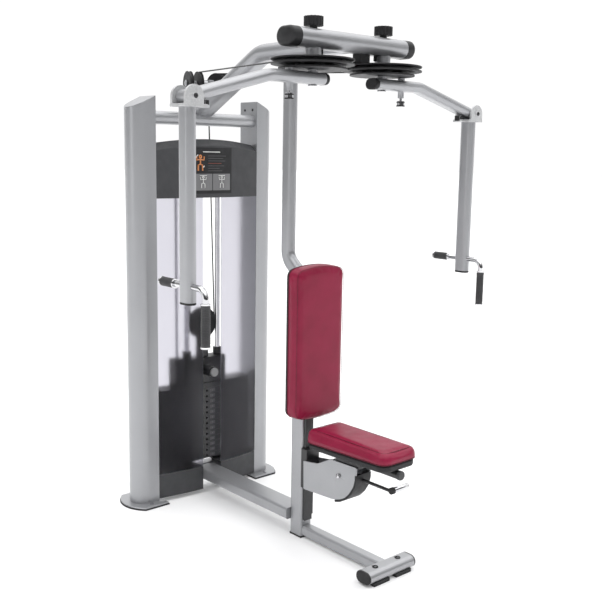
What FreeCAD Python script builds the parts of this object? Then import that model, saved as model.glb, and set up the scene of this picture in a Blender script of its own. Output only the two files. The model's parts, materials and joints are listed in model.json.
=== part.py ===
import FreeCAD, Part
import os
import re
from math import acos, atan2, cos, pi, radians, sin, sqrt
from FreeCAD import Rotation, Vector

# Pec deck machine: a tower with a weight stack, a boom with a crossbar that carries two cams, and on each
# cam an arm with a hanging tube and a bent handle bar. The user sits facing -Y. Millimetres, +Z up, X = 0 is
# the middle. Dimensions are laid out from the tower's bench line, and shift_y moves every finished sub-part
# so that the origin is under the middle of the whole machine.

SIZES = {
    "shift_y": 14.5,
    # tower
    "upright_inner": 277, "upright_front": 512, "upright_depth": 126, "upright_top": 1830,
    "upright_slope_drop": 52, "upright_wall": 4, "upright_bolt_z": 1795, "upright_bolt_hole": 5,
    "foot_inner": 253, "foot_front": 470, "foot_rear": 680, "foot_corner": 376, "foot_outer": 421,
    "foot_rim_z": 6, "foot_top_z": 12, "foot_rim_lip": 3,
    "cross_tube_y": 556, "cross_tube_z": 1739, "cross_tube_radius": 29, "steel_wall": 3,
    "cable_hole": 7,
    "base_frame_y": 550, "base_frame_z": 62, "base_frame_depth": 50, "base_frame_height": 56,
    "top_bar_y": 547, "top_bar_z": 1600, "top_bar_depth": 50, "top_bar_height": 12, "top_bar_slot_half": 58,
    "shroud_front_y": 484, "shroud_sagitta": 28, "shroud_bottom": 1391, "shroud_lip_side": 1599,
    "shroud_lip_middle": 1622, "shroud_bevel_depth": 40, "shroud_bevel_rise": 30, "shroud_wall": 4,
    "placard_half": 110, "placard_bottom": 1410, "placard_top": 1614, "placard_thick": 2,
    "slot_half": 51, "panel_bottom": 133, "panel_thick": 3,
    "base_shroud_bottom": 20, "base_shroud_wall": 5, "base_shelf_depth": 100, "through": 220,
    # weight stack
    "stack_y": 567, "stack_half": 252, "stack_front": 527, "stack_depth": 80, "stack_bottom": 151,
    "plate_pitch": 26.4, "plate_thick": 25.9, "plate_count": 13, "plate_corner": 8,
    "rod_x": 87, "rod_radius": 12.5, "rod_hole": 14, "running_fit": 0.05,
    "stem_radius": 9, "stem_hole": 12, "stem_bottom": 169,
    "add_rod_x": 142, "add_rod_radius": 7, "add_rod_hole": 9,
    "add_weight_left": 168, "add_weight_width": 54, "add_weight_depth": 54, "add_weight_height": 130,
    "bumper_radius": 27,
    "head_bottom": 494.7, "head_slab": 25.3, "head_block_half": 110, "head_block_depth": 70,
    "head_block_height": 122, "guide_collar_radius": 20, "guide_collar_height": 35,
    "pin_z": 583, "pin_radius": 4.5, "pin_tip": 578, "pin_shoulder": 475, "knob_radius": 20,
    "boss_radius": 25, "boss_gap": 2, "knob_length": 13, "drop_gap": 0.6,
    "pulley_z": 803, "pulley_radius": 74, "pulley_cable": 71, "pulley_width": 24,
    "pulley_axle": 8, "yoke_half": 22, "yoke_gap": 14, "yoke_thick": 5, "yoke_over": 24,
    "cable_radius": 3, "groove_clearance": 0.4,
    # frame
    "beam_rear_half": 50, "beam_rear_z": 65, "beam_rear_height": 50, "beam_corner": 10,
    "beam_front_half": 24, "beam_front_z": 11, "beam_front_height": 42,
    "foot_y": 650, "foot_z": 32, "foot_oval_depth": 74, "foot_oval_height": 48, "foot_half": 120,
    "foot_cap": 10, "foot_hole_x": 62, "foot_hole_y": 640, "foot_hole": 6,
    "pad_inner": 18, "pad_length": 84, "pad_front": 687, "pad_depth": 66, "pad_height": 15,
    "column_half": 30, "column_front": 187, "column_depth": 71, "column_bottom": 8, "column_top": 1040,
    "mast_width": 42, "mast_depth": 65, "mast_y": 48, "mast_foot_y": 151.5, "mast_bend_top": 1170,
    "mast_bend_bottom": 1085, "mast_bend": 70, "mast_top": 1978,
    "boom_width": 100, "boom_height": 68, "boom_relief": 1, "boom_drop": 0.2, "end_flat": 0.5,
    "boom_z": 2000, "boom_bend_y": 124.5,
    "boom_bend": 160,
    "boom_end_y": 580, "boom_slope": 27.4, "boom_cut_y": 553, "boom_hollow_end": 490,
    "crossbar_y": 378, "crossbar_half": 272, "cap_dome": 49,
    # pivots, cams and arms
    "pivot_x": 180, "shaft_radius": 12, "shaft_bottom": 1841, "bolt_head": 6, "bolt_head_radius": 17,
    "housing_radius": 30, "housing_bottom": 1930.6, "knob_z": 2044, "knob_height": 33,
    "ridge_radius": 35.5, "ridge_bore": 5, "ridge_count": 16, "knob_stem_radius": 14,
    "stop_x": 40, "stop_width": 49, "stop_y": 400, "stop_depth": 44, "stop_bottom": 1931.5,
    "nylon_x": 140, "nylon_radius": 7, "nylon_bottom": 1946,
    "cam_radius": 152, "drum_radius": 105, "cam_bottom": 1909, "flange_thick": 5, "drum_height": 11,
    "cam_cable_radius": 108.3, "cam_cable_z": 1918.5, "cam_cable_gap": 40, "wrap_start": 85, "wrap_end": 225,
    "plate_radius": 125, "plate_bottom": 1893, "plate_height": 6, "index_radius": 110, "index_hole": 6,
    "index_step": 20, "index_holes": 5, "spacer_ring": 72, "spacer_radius": 9, "spacer_count": 6,
    "arm_depth": 65, "arm_height": 42, "arm_z": 1862, "arm_inner": 138, "arm_bend_x": 385, "arm_bend": 120,
    "arm_end_x": 712, "arm_end_z": 1774.7, "arm_plug": 16, "arm_wall": 3,
    "hinge_x": 722, "hinge_z": 1772, "barrel_radius": 22.5, "barrel_length": 65, "hinge_pin_radius": 10,
    "index_x": 290, "index_pin_radius": 5, "index_pin_bottom": 1783, "index_pull_gap": 10.5,
    "index_knob_radius": 15, "index_collar_radius": 12, "index_collar_bottom": 1816, "index_tip": 1892.4,
    "carrier_radius": 14,
    "ear_radius": 36, "ear_inner": 33.5, "ear_thick": 10, "ear_foot_half": 36,
    "clevis_bottom": 1738, "clevis_plate": 9.5, "clevis_inner": 672, "clevis_length": 88, "clevis_depth": 87,
    "rest_inner": 645, "rest_length": 16, "rest_depth": 28, "rest_top": 1763,
    "forearm_width": 42, "forearm_depth": 65, "forearm_bottom": 1100, "forearm_plug": 8, "forearm_wall": 2.5,
    "handle_z": 1153.5, "handle_rear_y": 222, "handle_front_y": 479, "handle_bend": 35, "handle_bottom": 958,
    "handle_radius": 11, "grip_radius": 16, "grip_bottom": 964, "grip_top": 1102, "stub_grip_front": 300,
    "stub_grip_rear": 226,
    # idler pulleys
    "idler_y": 520, "idler_x": 49, "idler_z": 1892, "idler_radius": 52, "idler_cable": 49, "idler_pitch": 46,
    "idler_width": 18, "idler_axle": 8, "bracket_half": 12, "bracket_front": 490, "bracket_depth": 56,
    "bracket_bottom": 1795, "bracket_top": 1909,
    # backrest and seat
    "back_half": 128, "back_knee": 0.72, "back_bottom": 533, "back_top": 1160, "back_corner_rise": 14,
    "back_corner_drop": 21, "back_top_radius": 34, "back_bottom_radius": 30,
    "back_front": 257, "back_rear": 198, "board_inset": 2, "board_rear": 187,
    "seat_half": 97, "seat_rear": 272, "seat_front": 712, "seat_top_rear": 515, "seat_top_front": 516,
    "seat_pad_rear": 456, "seat_pad_front": 471, "seat_base_rear": 431.5, "seat_base_front": 442,
    "seat_base_inset": 5, "seat_corner": 40, "seat_rear_corner": 35,
    "rail_half": 20, "rail_bottom": 78, "rail_top": 530, "rail_depth": 13,
    "rack_x": 24, "rack_width": 6, "rack_depth": 8, "rack_bottom": 97, "rack_top": 200,
    "side_plate_x": 35, "side_plate_thick": 6, "cross_bolt_radius": 6, "cross_bolt_y": 418,
    "cross_bolt_z": 344,
    "carriage_half": 34.6, "carriage_rear": 187.6, "carriage_front": 222, "carriage_bottom": 228,
    "carriage_top": 395, "support_half": 34.6, "support_bottom": 396, "support_top": 431,
    "support_rear": 395, "support_front": 520, "support_tube_radius": 17, "support_tube_front": 712,
    "support_tube_z": 419,
    "lever_y": 490, "lever_z": 345, "lever_hub": 9, "lever_pin": 5, "lever_rod": 6.5, "lever_tip_y": 660,
    "lever_grip_x": 12, "lever_grip_length": 76, "lever_grip_radius": 10.5, "lever_bend": 12,
}

doc = FreeCAD.newDocument("pec_deck_machine")
sheet = doc.addObject("Spreadsheet::Sheet", "dims")
for row, (alias, number) in enumerate(SIZES.items(), start=1):
    sheet.set(f"A{row}", alias)
    sheet.set(f"B{row}", str(number))
    sheet.setAlias(f"B{row}", alias)
doc.recompute()

AXES = {"X": Rotation(Vector(0, 1, 0), 90), "Y": Rotation(Vector(1, 0, 0), -90), "Z": Rotation()}
ROLES = {"XY": "XY_Plane", "XZ": "XZ_Plane", "YZ": "YZ_Plane"}
SIDES = {"left": -1, "right": 1}
WORD = re.compile(r"[a-z][a-z_]+")
sub_parts = []


def val(alias):
    """The number in the spreadsheet cell with this alias."""
    return float(getattr(sheet, alias))


def bind(obj, **expressions):
    """Tie properties to spreadsheet cells; a bare alias in the text means that cell."""
    for prop, text in expressions.items():
        obj.setExpression(prop.replace("__", "."), WORD.sub(lambda word: "dims." + word.group(), text))


def place(obj, at, rotation=None):
    """Put an object at a point whose coordinates are expressions."""
    obj.Placement = FreeCAD.Placement(Vector(), rotation or Rotation())
    bind(obj, Placement__Base__x=at[0], Placement__Base__y=at[1], Placement__Base__z=at[2])
    return obj


def box(name, at, length, width, height):
    obj = doc.addObject("Part::Box", name)
    bind(obj, Length=length, Width=width, Height=height)
    return place(obj, at)


def rod(name, at, axis, radius, length):
    """A cylinder from a point along an axis, given as a letter or a rotation."""
    obj = doc.addObject("Part::Cylinder", name)
    bind(obj, Radius=radius, Height=length)
    return place(obj, at, AXES[axis] if isinstance(axis, str) else axis)


def fuse(name, *parts):
    obj = doc.addObject("Part::MultiFuse", name)
    obj.Shapes = list(parts)
    return obj


def cut(name, base, *tools):
    obj = doc.addObject("Part::Cut", name)
    obj.Base = base
    obj.Tool = tools[0] if len(tools) == 1 else group(name + "_tools", *tools)
    return obj


def common(name, first, second):
    obj = doc.addObject("Part::Common", name)
    obj.Base, obj.Tool = first, second
    return obj


def group(name, *parts):
    obj = doc.addObject("Part::Compound", name)
    obj.Links = list(parts)
    return obj


def mirror(name, source):
    """The same shape on the other side of the machine's middle plane."""
    obj = doc.addObject("Part::Mirroring", name)
    obj.Source = source
    obj.Normal = Vector(1, 0, 0)
    return obj


def pair(name, source):
    return group(name, source, mirror(name + "_mirror", source))


def sub_part(label, *parts):
    """A named piece of the machine, moved from the bench line to the machine's own origin."""
    obj = doc.addObject("Part::Compound", "sub_part_" + label)
    obj.Links = list(parts)
    obj.Label = label
    place(obj, ("0", "shift_y", "0"))
    sub_parts.append(obj)


def sided(label, side, part):
    """A sub-part drawn on the left side, mirrored for the right one."""
    name = f"{side}_{label}"
    sub_part(name, part if side == "left" else mirror("mirrored_" + name, part))


def new_sketch(body, name, plane, offset):
    sketch = body.newObject("Sketcher::SketchObject", name)
    support = [item for item in body.Origin.OriginFeatures if item.Role == ROLES[plane]][0]
    sketch.AttachmentSupport = [(support, "")]
    sketch.MapMode = "FlatFace"
    bind(sketch, AttachmentOffset__Base__z=offset)
    return sketch


def corner(before, point, after, radius):
    """Where a corner's arc starts, its middle and its end."""
    into = (point - before).normalize()
    out = (after - point).normalize()
    turn = into.getAngle(out)
    reach = radius * sin(turn / 2) / cos(turn / 2)
    start, end = point - into * reach, point + out * reach
    inward = (out - into).normalize()
    middle = point + inward * (radius / cos(turn / 2) - radius)
    return start, middle, end


def outline(points, closed=True):
    """Lines through (x, y, corner radius) points, with an arc at each corner that has a radius."""
    corners = [Vector(item[0], item[1], 0) for item in points]
    arcs = []
    for i, item in enumerate(points):
        inner = closed or 0 < i < len(points) - 1
        if inner and item[2] > 0:
            arcs.append(corner(corners[i - 1], corners[i], corners[(i + 1) % len(points)], item[2]))
        else:
            arcs.append((corners[i], None, corners[i]))
    edges = []
    for i, (start, middle, end) in enumerate(arcs):
        if middle is not None:
            edges.append(Part.Arc(start, middle, end))
        following = arcs[(i + 1) % len(arcs)][0]
        if (closed or i < len(arcs) - 1) and end.distanceToPoint(following) > 1e-6:
            edges.append(Part.LineSegment(end, following))
    return edges


def rectangle(left, low, right, high, radius=0.0):
    return outline([(left, low, radius), (right, low, radius), (right, high, radius), (left, high, radius)])


def oval(width, height, middle_x=0.0, middle_y=0.0):
    """A flat oval: a rectangle with two ends that are round but for a narrow flat."""
    radius = min(width, height) / 2 - val("end_flat") / 2
    return rectangle(middle_x - width / 2, middle_y - height / 2, middle_x + width / 2,
                     middle_y + height / 2, radius)


def pad(name, plane, edges, start, length):
    """A body: an outline on a plane, padded along the plane's normal (XY to +Z, YZ to +X, XZ to -Y)."""
    body = doc.addObject("PartDesign::Body", name)
    sketch = new_sketch(body, name + "_outline", plane, start)
    for edge in edges:
        sketch.addGeometry(edge)
    feature = body.newObject("PartDesign::Pad", name + "_pad")
    feature.Profile = sketch
    bind(feature, Length=length)
    return body


def pipe(name, section_plane, start, section, path_plane, path, path_offset="0"):
    """A body: a section swept along a path of straight runs and arcs."""
    body = doc.addObject("PartDesign::Body", name)
    spine = new_sketch(body, name + "_path", path_plane, path_offset)
    for edge in path:
        spine.addGeometry(edge)
    profile = new_sketch(body, name + "_section", section_plane, start)
    for edge in section:
        profile.addGeometry(edge)
    doc.recompute()
    feature = body.newObject("PartDesign::AdditivePipe", name + "_pipe")
    feature.Profile = (profile, [""])
    feature.Spine = (spine, [f"Edge{i + 1}" for i in range(len(path))])
    return body


def feature(name, shape):
    obj = doc.addObject("Part::Feature", name)
    obj.Shape = shape
    return obj


def groove_wheel(radius, root, width, bore, throat):
    """A pulley about +Z, centred at the origin, with a trapezoid groove."""
    half = width / 2
    profile = [(bore, -half), (radius, -half), (radius, -throat - (radius - root) * 0.25), (root, -throat),
               (root, throat), (radius, throat + (radius - root) * 0.25), (radius, half), (bore, half)]
    wire = Part.makePolygon([Vector(x, 0, z) for x, z in profile + profile[:1]])
    return Part.Face(wire).revolve(Vector(), Vector(0, 0, 1), 360)


def facing(direction):
    return Rotation(Vector(0, 0, 1), direction)


# ---------------------------------------------------------------- tower

def front_arc_y(x, offset=0.0):
    """How far back the curved front of the tower is at a distance x from the middle."""
    half, sagitta = val("upright_inner"), val("shroud_sagitta")
    radius = (half ** 2 + sagitta ** 2) / (2 * sagitta)
    return val("shroud_front_y") + radius - sqrt(radius ** 2 - x ** 2) + offset


def curved_strip(left, right, thickness, offset=0.0):
    """A plan outline that follows the tower's curved front."""
    middle = (left + right) / 2
    points = [Vector(x, front_arc_y(x, offset), 0) for x in (left, middle, right)]
    back = [point + Vector(0, thickness, 0) for point in points]
    return [Part.Arc(*points), Part.LineSegment(points[2], back[2]), Part.Arc(*reversed(back)),
            Part.LineSegment(back[0], points[0])]


def d_outline(inset):
    """The upright's section: flat inside, half round outside."""
    inner, front = val("upright_inner") + inset, val("upright_front") + inset
    rear = val("upright_front") + val("upright_depth") - inset
    radius = (rear - front) / 2
    straight = inner + 45 - inset
    middle = (front + rear) / 2
    return [Part.LineSegment(Vector(inner, front, 0), Vector(straight, front, 0)),
            Part.Arc(Vector(straight, front, 0), Vector(straight + radius, middle, 0),
                     Vector(straight, rear, 0)),
            Part.LineSegment(Vector(straight, rear, 0), Vector(inner, rear, 0)),
            Part.LineSegment(Vector(inner, rear, 0), Vector(inner, front, 0))]


def slope_wedge(name, drop, thickness):
    """A slanting slab over the upright, high at its inner side."""
    inner, outer = val("upright_inner") - 10, val("upright_inner") + 130
    tilt = val("upright_slope_drop") / 108
    high = val("upright_top") - drop + 10 * tilt
    low = high - 140 * tilt
    points = [(inner, high, 0), (outer, low, 0), (outer, low + thickness, 0), (inner, high + thickness, 0)]
    return pad(name, "XZ", outline(points), "-upright_front - upright_depth - 10", "upright_depth + 20")


def foot_outline(grow):
    inner, front, rear = val("foot_inner") - grow, val("foot_front") - grow, val("foot_rear") + grow
    end, outer = val("foot_corner"), val("foot_outer") + grow
    middle = (front + rear) / 2
    return [Part.LineSegment(Vector(inner, front, 0), Vector(end, front, 0)),
            Part.Arc(Vector(end, front, 0), Vector(outer, middle, 0), Vector(end, rear, 0)),
            Part.LineSegment(Vector(end, rear, 0), Vector(inner, rear, 0)),
            Part.LineSegment(Vector(inner, rear, 0), Vector(inner, front, 0))]


def uprights():
    height = "upright_top - foot_top_z"
    outer = pad("upright_outer", "XY", d_outline(0), "foot_top_z", height)
    inner = pad("upright_inside", "XY", d_outline(val("upright_wall")), "foot_top_z", height)
    over = slope_wedge("upright_over", 3, 90)
    holes = [rod(f"upright_bolt_hole_{i}", ("upright_inner - 5", f"upright_front + {y}", "upright_bolt_z"),
                 "X", "upright_bolt_hole", "20") for i, y in enumerate((34, 92))]
    shell = cut("upright_shell", outer, inner, over, *holes)
    lid = common("upright_lid", pad("upright_lid_outline", "XY", d_outline(0), "foot_top_z", height),
                 slope_wedge("upright_lid_slab", 3, 3))
    sub_part("uprights", pair("upright_pair", shell))
    sub_part("upright_caps", pair("upright_lid_pair", lid))


def feet():
    plate = pad("foot_plate", "XY", foot_outline(0), "foot_rim_z", "foot_top_z - foot_rim_z")
    rim = pad("foot_rim", "XY", foot_outline(val("foot_rim_lip")), "0", "foot_rim_z")
    sub_part("foot_plates", pair("foot_plate_pair", plate))
    return pair("foot_rim_pair", rim)


def tower_members():
    tube = rod("cross_tube_outer", ("-upright_inner", "cross_tube_y", "cross_tube_z"), "X",
               "cross_tube_radius", "2 * upright_inner")
    inside = rod("cross_tube_inside", ("-upright_inner", "cross_tube_y", "cross_tube_z"), "X",
                 "cross_tube_radius - steel_wall", "2 * upright_inner")
    holes = [rod(f"cross_tube_cable_hole_{i}", (x, "stack_y", "cross_tube_z - 40"), "Z", "cable_hole", "80")
             for i, x in enumerate(("-41", "41"))]
    sub_part("tower_cross_tube", cut("cross_tube", tube, inside, *holes))
    lower = box("base_member", ("-upright_inner", "base_frame_y", "base_frame_z"), "2 * upright_inner",
                "base_frame_depth", "base_frame_height")
    upper = box("top_bar", ("-upright_inner", "top_bar_y", "top_bar_z"), "2 * upright_inner",
                "top_bar_depth", "top_bar_height")
    slot = box("top_bar_slot", ("-top_bar_slot_half", "stack_y - cable_hole", "top_bar_z - 5"),
               "2 * top_bar_slot_half", "2 * cable_hole", "top_bar_height + 10")
    sub_part("tower_cross_members", lower, cut("top_bar_slotted", upper, slot))


def shroud_section(x):
    """The closed outline of the top shroud in a plane across X."""
    share = 1 - (x / val("upright_inner")) ** 2
    lip = val("shroud_lip_side") + (val("shroud_lip_middle") - val("shroud_lip_side")) * share
    wall = val("shroud_wall")
    front = front_arc_y(x)
    back, rise = front + val("shroud_bevel_depth"), lip + val("shroud_bevel_rise")
    points = [(front, val("shroud_bottom")), (front, lip), (back, rise), (back, rise - wall),
              (front + wall, lip - wall * 0.6), (front + wall, val("shroud_bottom"))]
    return Part.makePolygon([Vector(x, y, z) for y, z in points + points[:1]])


def tower_covers():
    half = val("upright_inner")
    stations = [half * (i / 4 - 1) for i in range(9)]
    sub_part("top_shroud", feature("top_shroud_shell", Part.makeLoft([shroud_section(x) for x in stations],
                                                                     True, False)))
    placard = pad("placard_plate", "XY", curved_strip(-val("placard_half"), val("placard_half"),
                                                      val("placard_thick"), -val("placard_thick")),
                  "placard_bottom", "placard_top - placard_bottom")
    sub_part("placard", placard)
    strip = curved_strip(val("slot_half"), half, val("panel_thick"))
    front = pad("front_panel", "XY", strip, "panel_bottom", "shroud_bottom - panel_bottom")
    sub_part("tower_panels", pair("front_panel_pair", front))
    strip = curved_strip(val("beam_rear_half") + 1, half, val("base_shroud_wall"))
    cover = pad("base_cover", "XY", strip, "base_shroud_bottom", "panel_bottom - base_shroud_bottom")
    shelf_strip = curved_strip(val("beam_rear_half") + 1, half, val("base_shelf_depth"))
    shelf = pad("base_shelf", "XY", shelf_strip, "panel_bottom - base_shroud_wall", "base_shroud_wall")
    bumper = rod("bumper_clearance", ("rod_x", "stack_y", "0"), "Z", "bumper_radius + 1", "through")
    rod_gap = rod("add_rod_clearance", ("add_rod_x", "stack_y", "0"), "Z", "add_rod_hole", "through")
    whole = cut("base_cover_whole", fuse("base_cover_shape", cover, shelf), bumper, rod_gap)
    sub_part("base_shroud", pair("base_cover_pair", whole))


# ---------------------------------------------------------------- weight stack

def at_rods(name, make):
    """One piece at each guide rod."""
    return [make(f"{name}_{side}", f"{sign} * rod_x") for side, sign in SIDES.items()]


def stack():
    frame_top = "base_frame_z + base_frame_height"
    rods = at_rods("guide_rod", lambda name, x: rod(name, (x, "stack_y", frame_top), "Z", "rod_radius",
                                                    f"top_bar_z - ({frame_top})"))
    add_rod = rod("add_rod", ("-add_rod_x", "stack_y", frame_top), "Z", "add_rod_radius",
                  f"top_bar_z - ({frame_top})")
    sub_part("guide_rods", *rods, add_rod)
    plates = []
    for i in range(int(val("plate_count"))):
        low = f"stack_bottom + {i} * plate_pitch"
        edges = rectangle(-val("stack_half"), val("stack_front"), val("stack_half"),
                          val("stack_front") + val("stack_depth"), val("plate_corner"))
        slab = pad(f"plate_slab_{i}", "XY", edges, low, "plate_thick")
        holes = at_rods(f"plate_hole_{i}", lambda name, x: rod(name, (x, "stack_y", f"{low} - 1"), "Z",
                                                               "rod_hole", "plate_thick + 2"))
        holes.append(rod(f"plate_stem_hole_{i}", ("0", "stack_y", f"{low} - 1"), "Z", "stem_hole",
                         "plate_thick + 2"))
        holes.append(rod(f"plate_add_hole_{i}", ("-add_rod_x", "stack_y", f"{low} - 1"), "Z",
                         "add_rod_hole", "plate_thick + 2"))
        holes.append(rod(f"plate_pin_hole_{i}", ("0", "stack_front - 1", f"{low} + plate_thick / 2"), "Y",
                         "pin_radius + 1", "30"))
        plates.append(cut(f"plate_{i}", slab, *holes))
    sub_part("weight_plates", *plates)
    bumpers = []
    for name, x in (("bumper_left", "-rod_x"), ("bumper_right", "rod_x")):
        ring = rod(name + "_outer", (x, "stack_y", frame_top), "Z", "bumper_radius",
                   f"stack_bottom - ({frame_top})")
        hole = rod(name + "_hole", (x, "stack_y", frame_top), "Z", "rod_radius", "60")
        bumpers.append(cut(name, ring, hole))
    sub_part("stack_bumpers", *bumpers)


def head():
    slab = pad("head_slab", "XY", rectangle(-val("stack_half"), val("stack_front"), val("stack_half"),
                                            val("stack_front") + val("stack_depth"), val("plate_corner")),
               "head_bottom", "head_slab")
    block = box("head_block", ("-head_block_half", "stack_y - head_block_depth / 2",
                               "head_bottom + head_slab"), "2 * head_block_half", "head_block_depth",
                "head_block_height")
    collar_z = "head_bottom + head_slab + head_block_height"
    collars = at_rods("guide_collar", lambda name, x: rod(name, (x, "stack_y", collar_z), "Z",
                                                          "guide_collar_radius", "guide_collar_height"))
    yokes = []
    for name, y in (("yoke_front", "stack_y - yoke_gap - yoke_thick"), ("yoke_rear", "stack_y + yoke_gap")):
        yokes.append(box(name, ("-yoke_half", y, collar_z), "2 * yoke_half", "yoke_thick",
                         "pulley_z + yoke_over - head_bottom - head_slab - head_block_height"))
    axle = rod("pulley_axle", ("0", "stack_y - yoke_gap - yoke_thick - 5", "pulley_z"), "Y", "pulley_axle",
               "2 * yoke_gap + 2 * yoke_thick + 10")
    stem = rod("selector_stem", ("0", "stack_y", "stem_bottom"), "Z", "stem_radius",
               "head_bottom - stem_bottom + 5")
    boss = rod("selector_boss", ("0", "pin_shoulder + boss_gap", "pin_z"), "Y", "boss_radius",
               "stack_y - pin_shoulder - boss_gap")
    solid = fuse("head_solid", slab, block, *collars, *yokes, axle, stem, boss)
    holes = at_rods("head_hole", lambda name, x: rod(name, (x, "stack_y", "head_bottom - 5"), "Z",
                                                     "rod_radius + running_fit", "through"))
    holes.append(rod("head_add_hole", ("-add_rod_x", "stack_y", "head_bottom - 5"), "Z", "add_rod_hole",
                     "head_slab + 10"))
    holes.append(rod("head_pin_hole", ("0", "pin_shoulder", "pin_z"), "Y", "pin_radius + running_fit",
                     "pin_tip - pin_shoulder + 2"))
    sub_part("head_plate", cut("head", solid, *holes))
    wheel = groove_wheel(val("pulley_radius"), val("pulley_cable") - val("cable_radius")
                         - val("groove_clearance"), val("pulley_width"),
                         val("pulley_axle") + val("running_fit"), val("cable_radius") + 1)
    pulley = feature("floating_wheel", wheel)
    place(pulley, ("0", "stack_y", "pulley_z"), AXES["Y"])
    sub_part("floating_pulley", pulley)
    reach = val("pulley_cable")
    middle = Vector(0, val("stack_y"), val("pulley_z"))
    arc = Part.Arc(middle + Vector(-reach, 0, 0), middle + Vector(0, 0, -reach), middle + Vector(reach, 0, 0))
    sub_part("cable_loop", feature("cable_loop_tube", tube_along([arc], Vector(0, 0, -1))))
    weight = box("add_weight_block", ("-add_weight_left", "stack_y - add_weight_depth / 2",
                                      "head_bottom + head_slab + 0.4"), "add_weight_width",
                 "add_weight_depth", "add_weight_height")
    bore = rod("add_weight_bore", ("-add_rod_x", "stack_y", "head_bottom"), "Z",
               "add_rod_radius + running_fit", "through")
    sub_part("increment_weight", cut("add_weight", weight, bore))
    pin = rod("selector_shaft", ("0", "pin_shoulder - 1", "pin_z"), "Y", "pin_radius",
              "pin_tip - pin_shoulder + 1")
    knob = rod("selector_knob", ("0", "pin_shoulder - knob_length", "pin_z"), "Y", "knob_radius",
               "knob_length")
    sub_part("selector_pin", fuse("selector", pin, knob))


def tube_along(curves, direction):
    """A solid cable along joined lines and arcs that start in a known direction."""
    wire = Part.Wire([curve.toShape() for curve in curves])
    start = wire.OrderedVertexes[0].Point
    ring = Part.Wire(Part.makeCircle(val("cable_radius"), start, direction))
    solid = wire.makePipeShell([ring], True, False)
    expected = wire.Length * pi * val("cable_radius") ** 2
    print(f"cable run {wire.Length:.1f} mm, volume {solid.Volume:.0f}, section x length {expected:.0f}")
    return solid


# ---------------------------------------------------------------- frame

def hollow_pad(name, plane, edges, inside, start, length):
    outer = pad(name + "_outer", plane, edges, start, length)
    inner = pad(name + "_inside", plane, inside, start, length)
    return cut(name, outer, inner)


def box_tube(name, half, low, high, start, length):
    """A round-cornered box tube along Y with its front end closed."""
    round_corner, wall = val("beam_corner"), val("steel_wall")
    outer = pad(name + "_outer", "XZ", rectangle(-half, low, half, high, round_corner), start, length)
    inner = pad(name + "_inside", "XZ", rectangle(wall - half, low + wall, half - wall, high - wall,
                                                  round_corner - wall), start, f"{length} - steel_wall")
    return cut(name, outer, inner)


def base_beams():
    rear = box_tube("rear_beam", val("beam_rear_half"), val("beam_rear_z"),
                    val("beam_rear_z") + val("beam_rear_height"), "-base_frame_y",
                    "base_frame_y + column_front - column_depth")
    front = box_tube("front_beam", val("beam_front_half"), val("beam_front_z"),
                     val("beam_front_z") + val("beam_front_height"), "column_front",
                     "foot_y - column_front")
    sub_part("base_beams", rear, cut("front_beam_coped", front, foot_solid("beam_cope")))


def foot_solid(name):
    """The front foot's flat oval, whole."""
    edges = oval(val("foot_oval_depth"), val("foot_oval_height"), -val("foot_y"), val("foot_z"))
    return pad(name, "YZ", edges, "-foot_half", "2 * foot_half")


def front_foot():
    wall = val("steel_wall")
    hollow = oval(val("foot_oval_depth") - 2 * wall, val("foot_oval_height") - 2 * wall, -val("foot_y"),
                  val("foot_z"))
    inside = pad("foot_inside", "YZ", hollow, "-foot_half", "2 * foot_half")
    holes = [rod(f"foot_bolt_hole_{side}", (f"{sign} * foot_hole_x", "-foot_hole_y", "foot_z"), "Z",
                 "foot_hole", "foot_oval_height") for side, sign in SIDES.items()]
    sub_part("front_foot", cut("foot_tube", foot_solid("foot_outer_solid"), inside, *holes))
    pad_block = box("foot_pad_block", ("-pad_inner - pad_length", "-pad_front", "0"), "pad_length",
                    "pad_depth", "pad_height")
    pads = pair("foot_pad_pair", cut("foot_pad", pad_block, foot_solid("pad_cope")))
    column_pad = box("column_pad", ("-column_half", "-column_front", "0"), "2 * column_half",
                     "column_depth", "column_bottom")
    sub_part("rubber_pads", feet(), pads, column_pad)


def crossbar_edges(inset=0.0):
    return oval(val("boom_width") - 2 * inset, val("boom_height") - 2 * inset, -val("crossbar_y"),
                val("boom_z"))


def crossbar_solid(name):
    return pad(name, "YZ", crossbar_edges(), "-crossbar_half", "2 * crossbar_half")


def crossbar_and_caps():
    inside = pad("crossbar_inside", "YZ", crossbar_edges(val("steel_wall")), "-crossbar_half",
                 "2 * crossbar_half")
    sub_part("crossbar", cut("crossbar_tube", crossbar_solid("crossbar_outer"), inside))
    half_x, half_y, half_z = val("cap_dome"), val("boom_width") / 2, val("boom_height") / 2
    flat = half_y - half_z
    quarter = Part.makeCylinder(half_z, flat * 2, Vector(0, -flat, 0), Vector(0, 1, 0))
    ends = [Part.makeSphere(half_z, Vector(0, y, 0)) for y in (-flat, flat)]
    dome = quarter.multiFuse(ends)
    stretch = FreeCAD.Matrix()
    stretch.scale(half_x / half_z, 1, 1)
    dome = dome.transformGeometry(stretch)
    dome = dome.common(Part.makeBox(half_x * 2, half_y * 4, half_z * 4, Vector(-half_x * 2, -half_y * 2,
                                                                               -half_z * 2)))
    cap = place(feature("crossbar_cap", dome), ("-crossbar_half", "-crossbar_y", "boom_z"))
    foot_cap = pad("foot_cap_outline", "YZ", oval(val("foot_oval_depth"), val("foot_oval_height"),
                                                  -val("foot_y"), val("foot_z")),
                   "-foot_half - foot_cap", "foot_cap")
    sub_part("tube_end_caps", pair("crossbar_caps", cap), pair("foot_caps", foot_cap))


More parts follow.
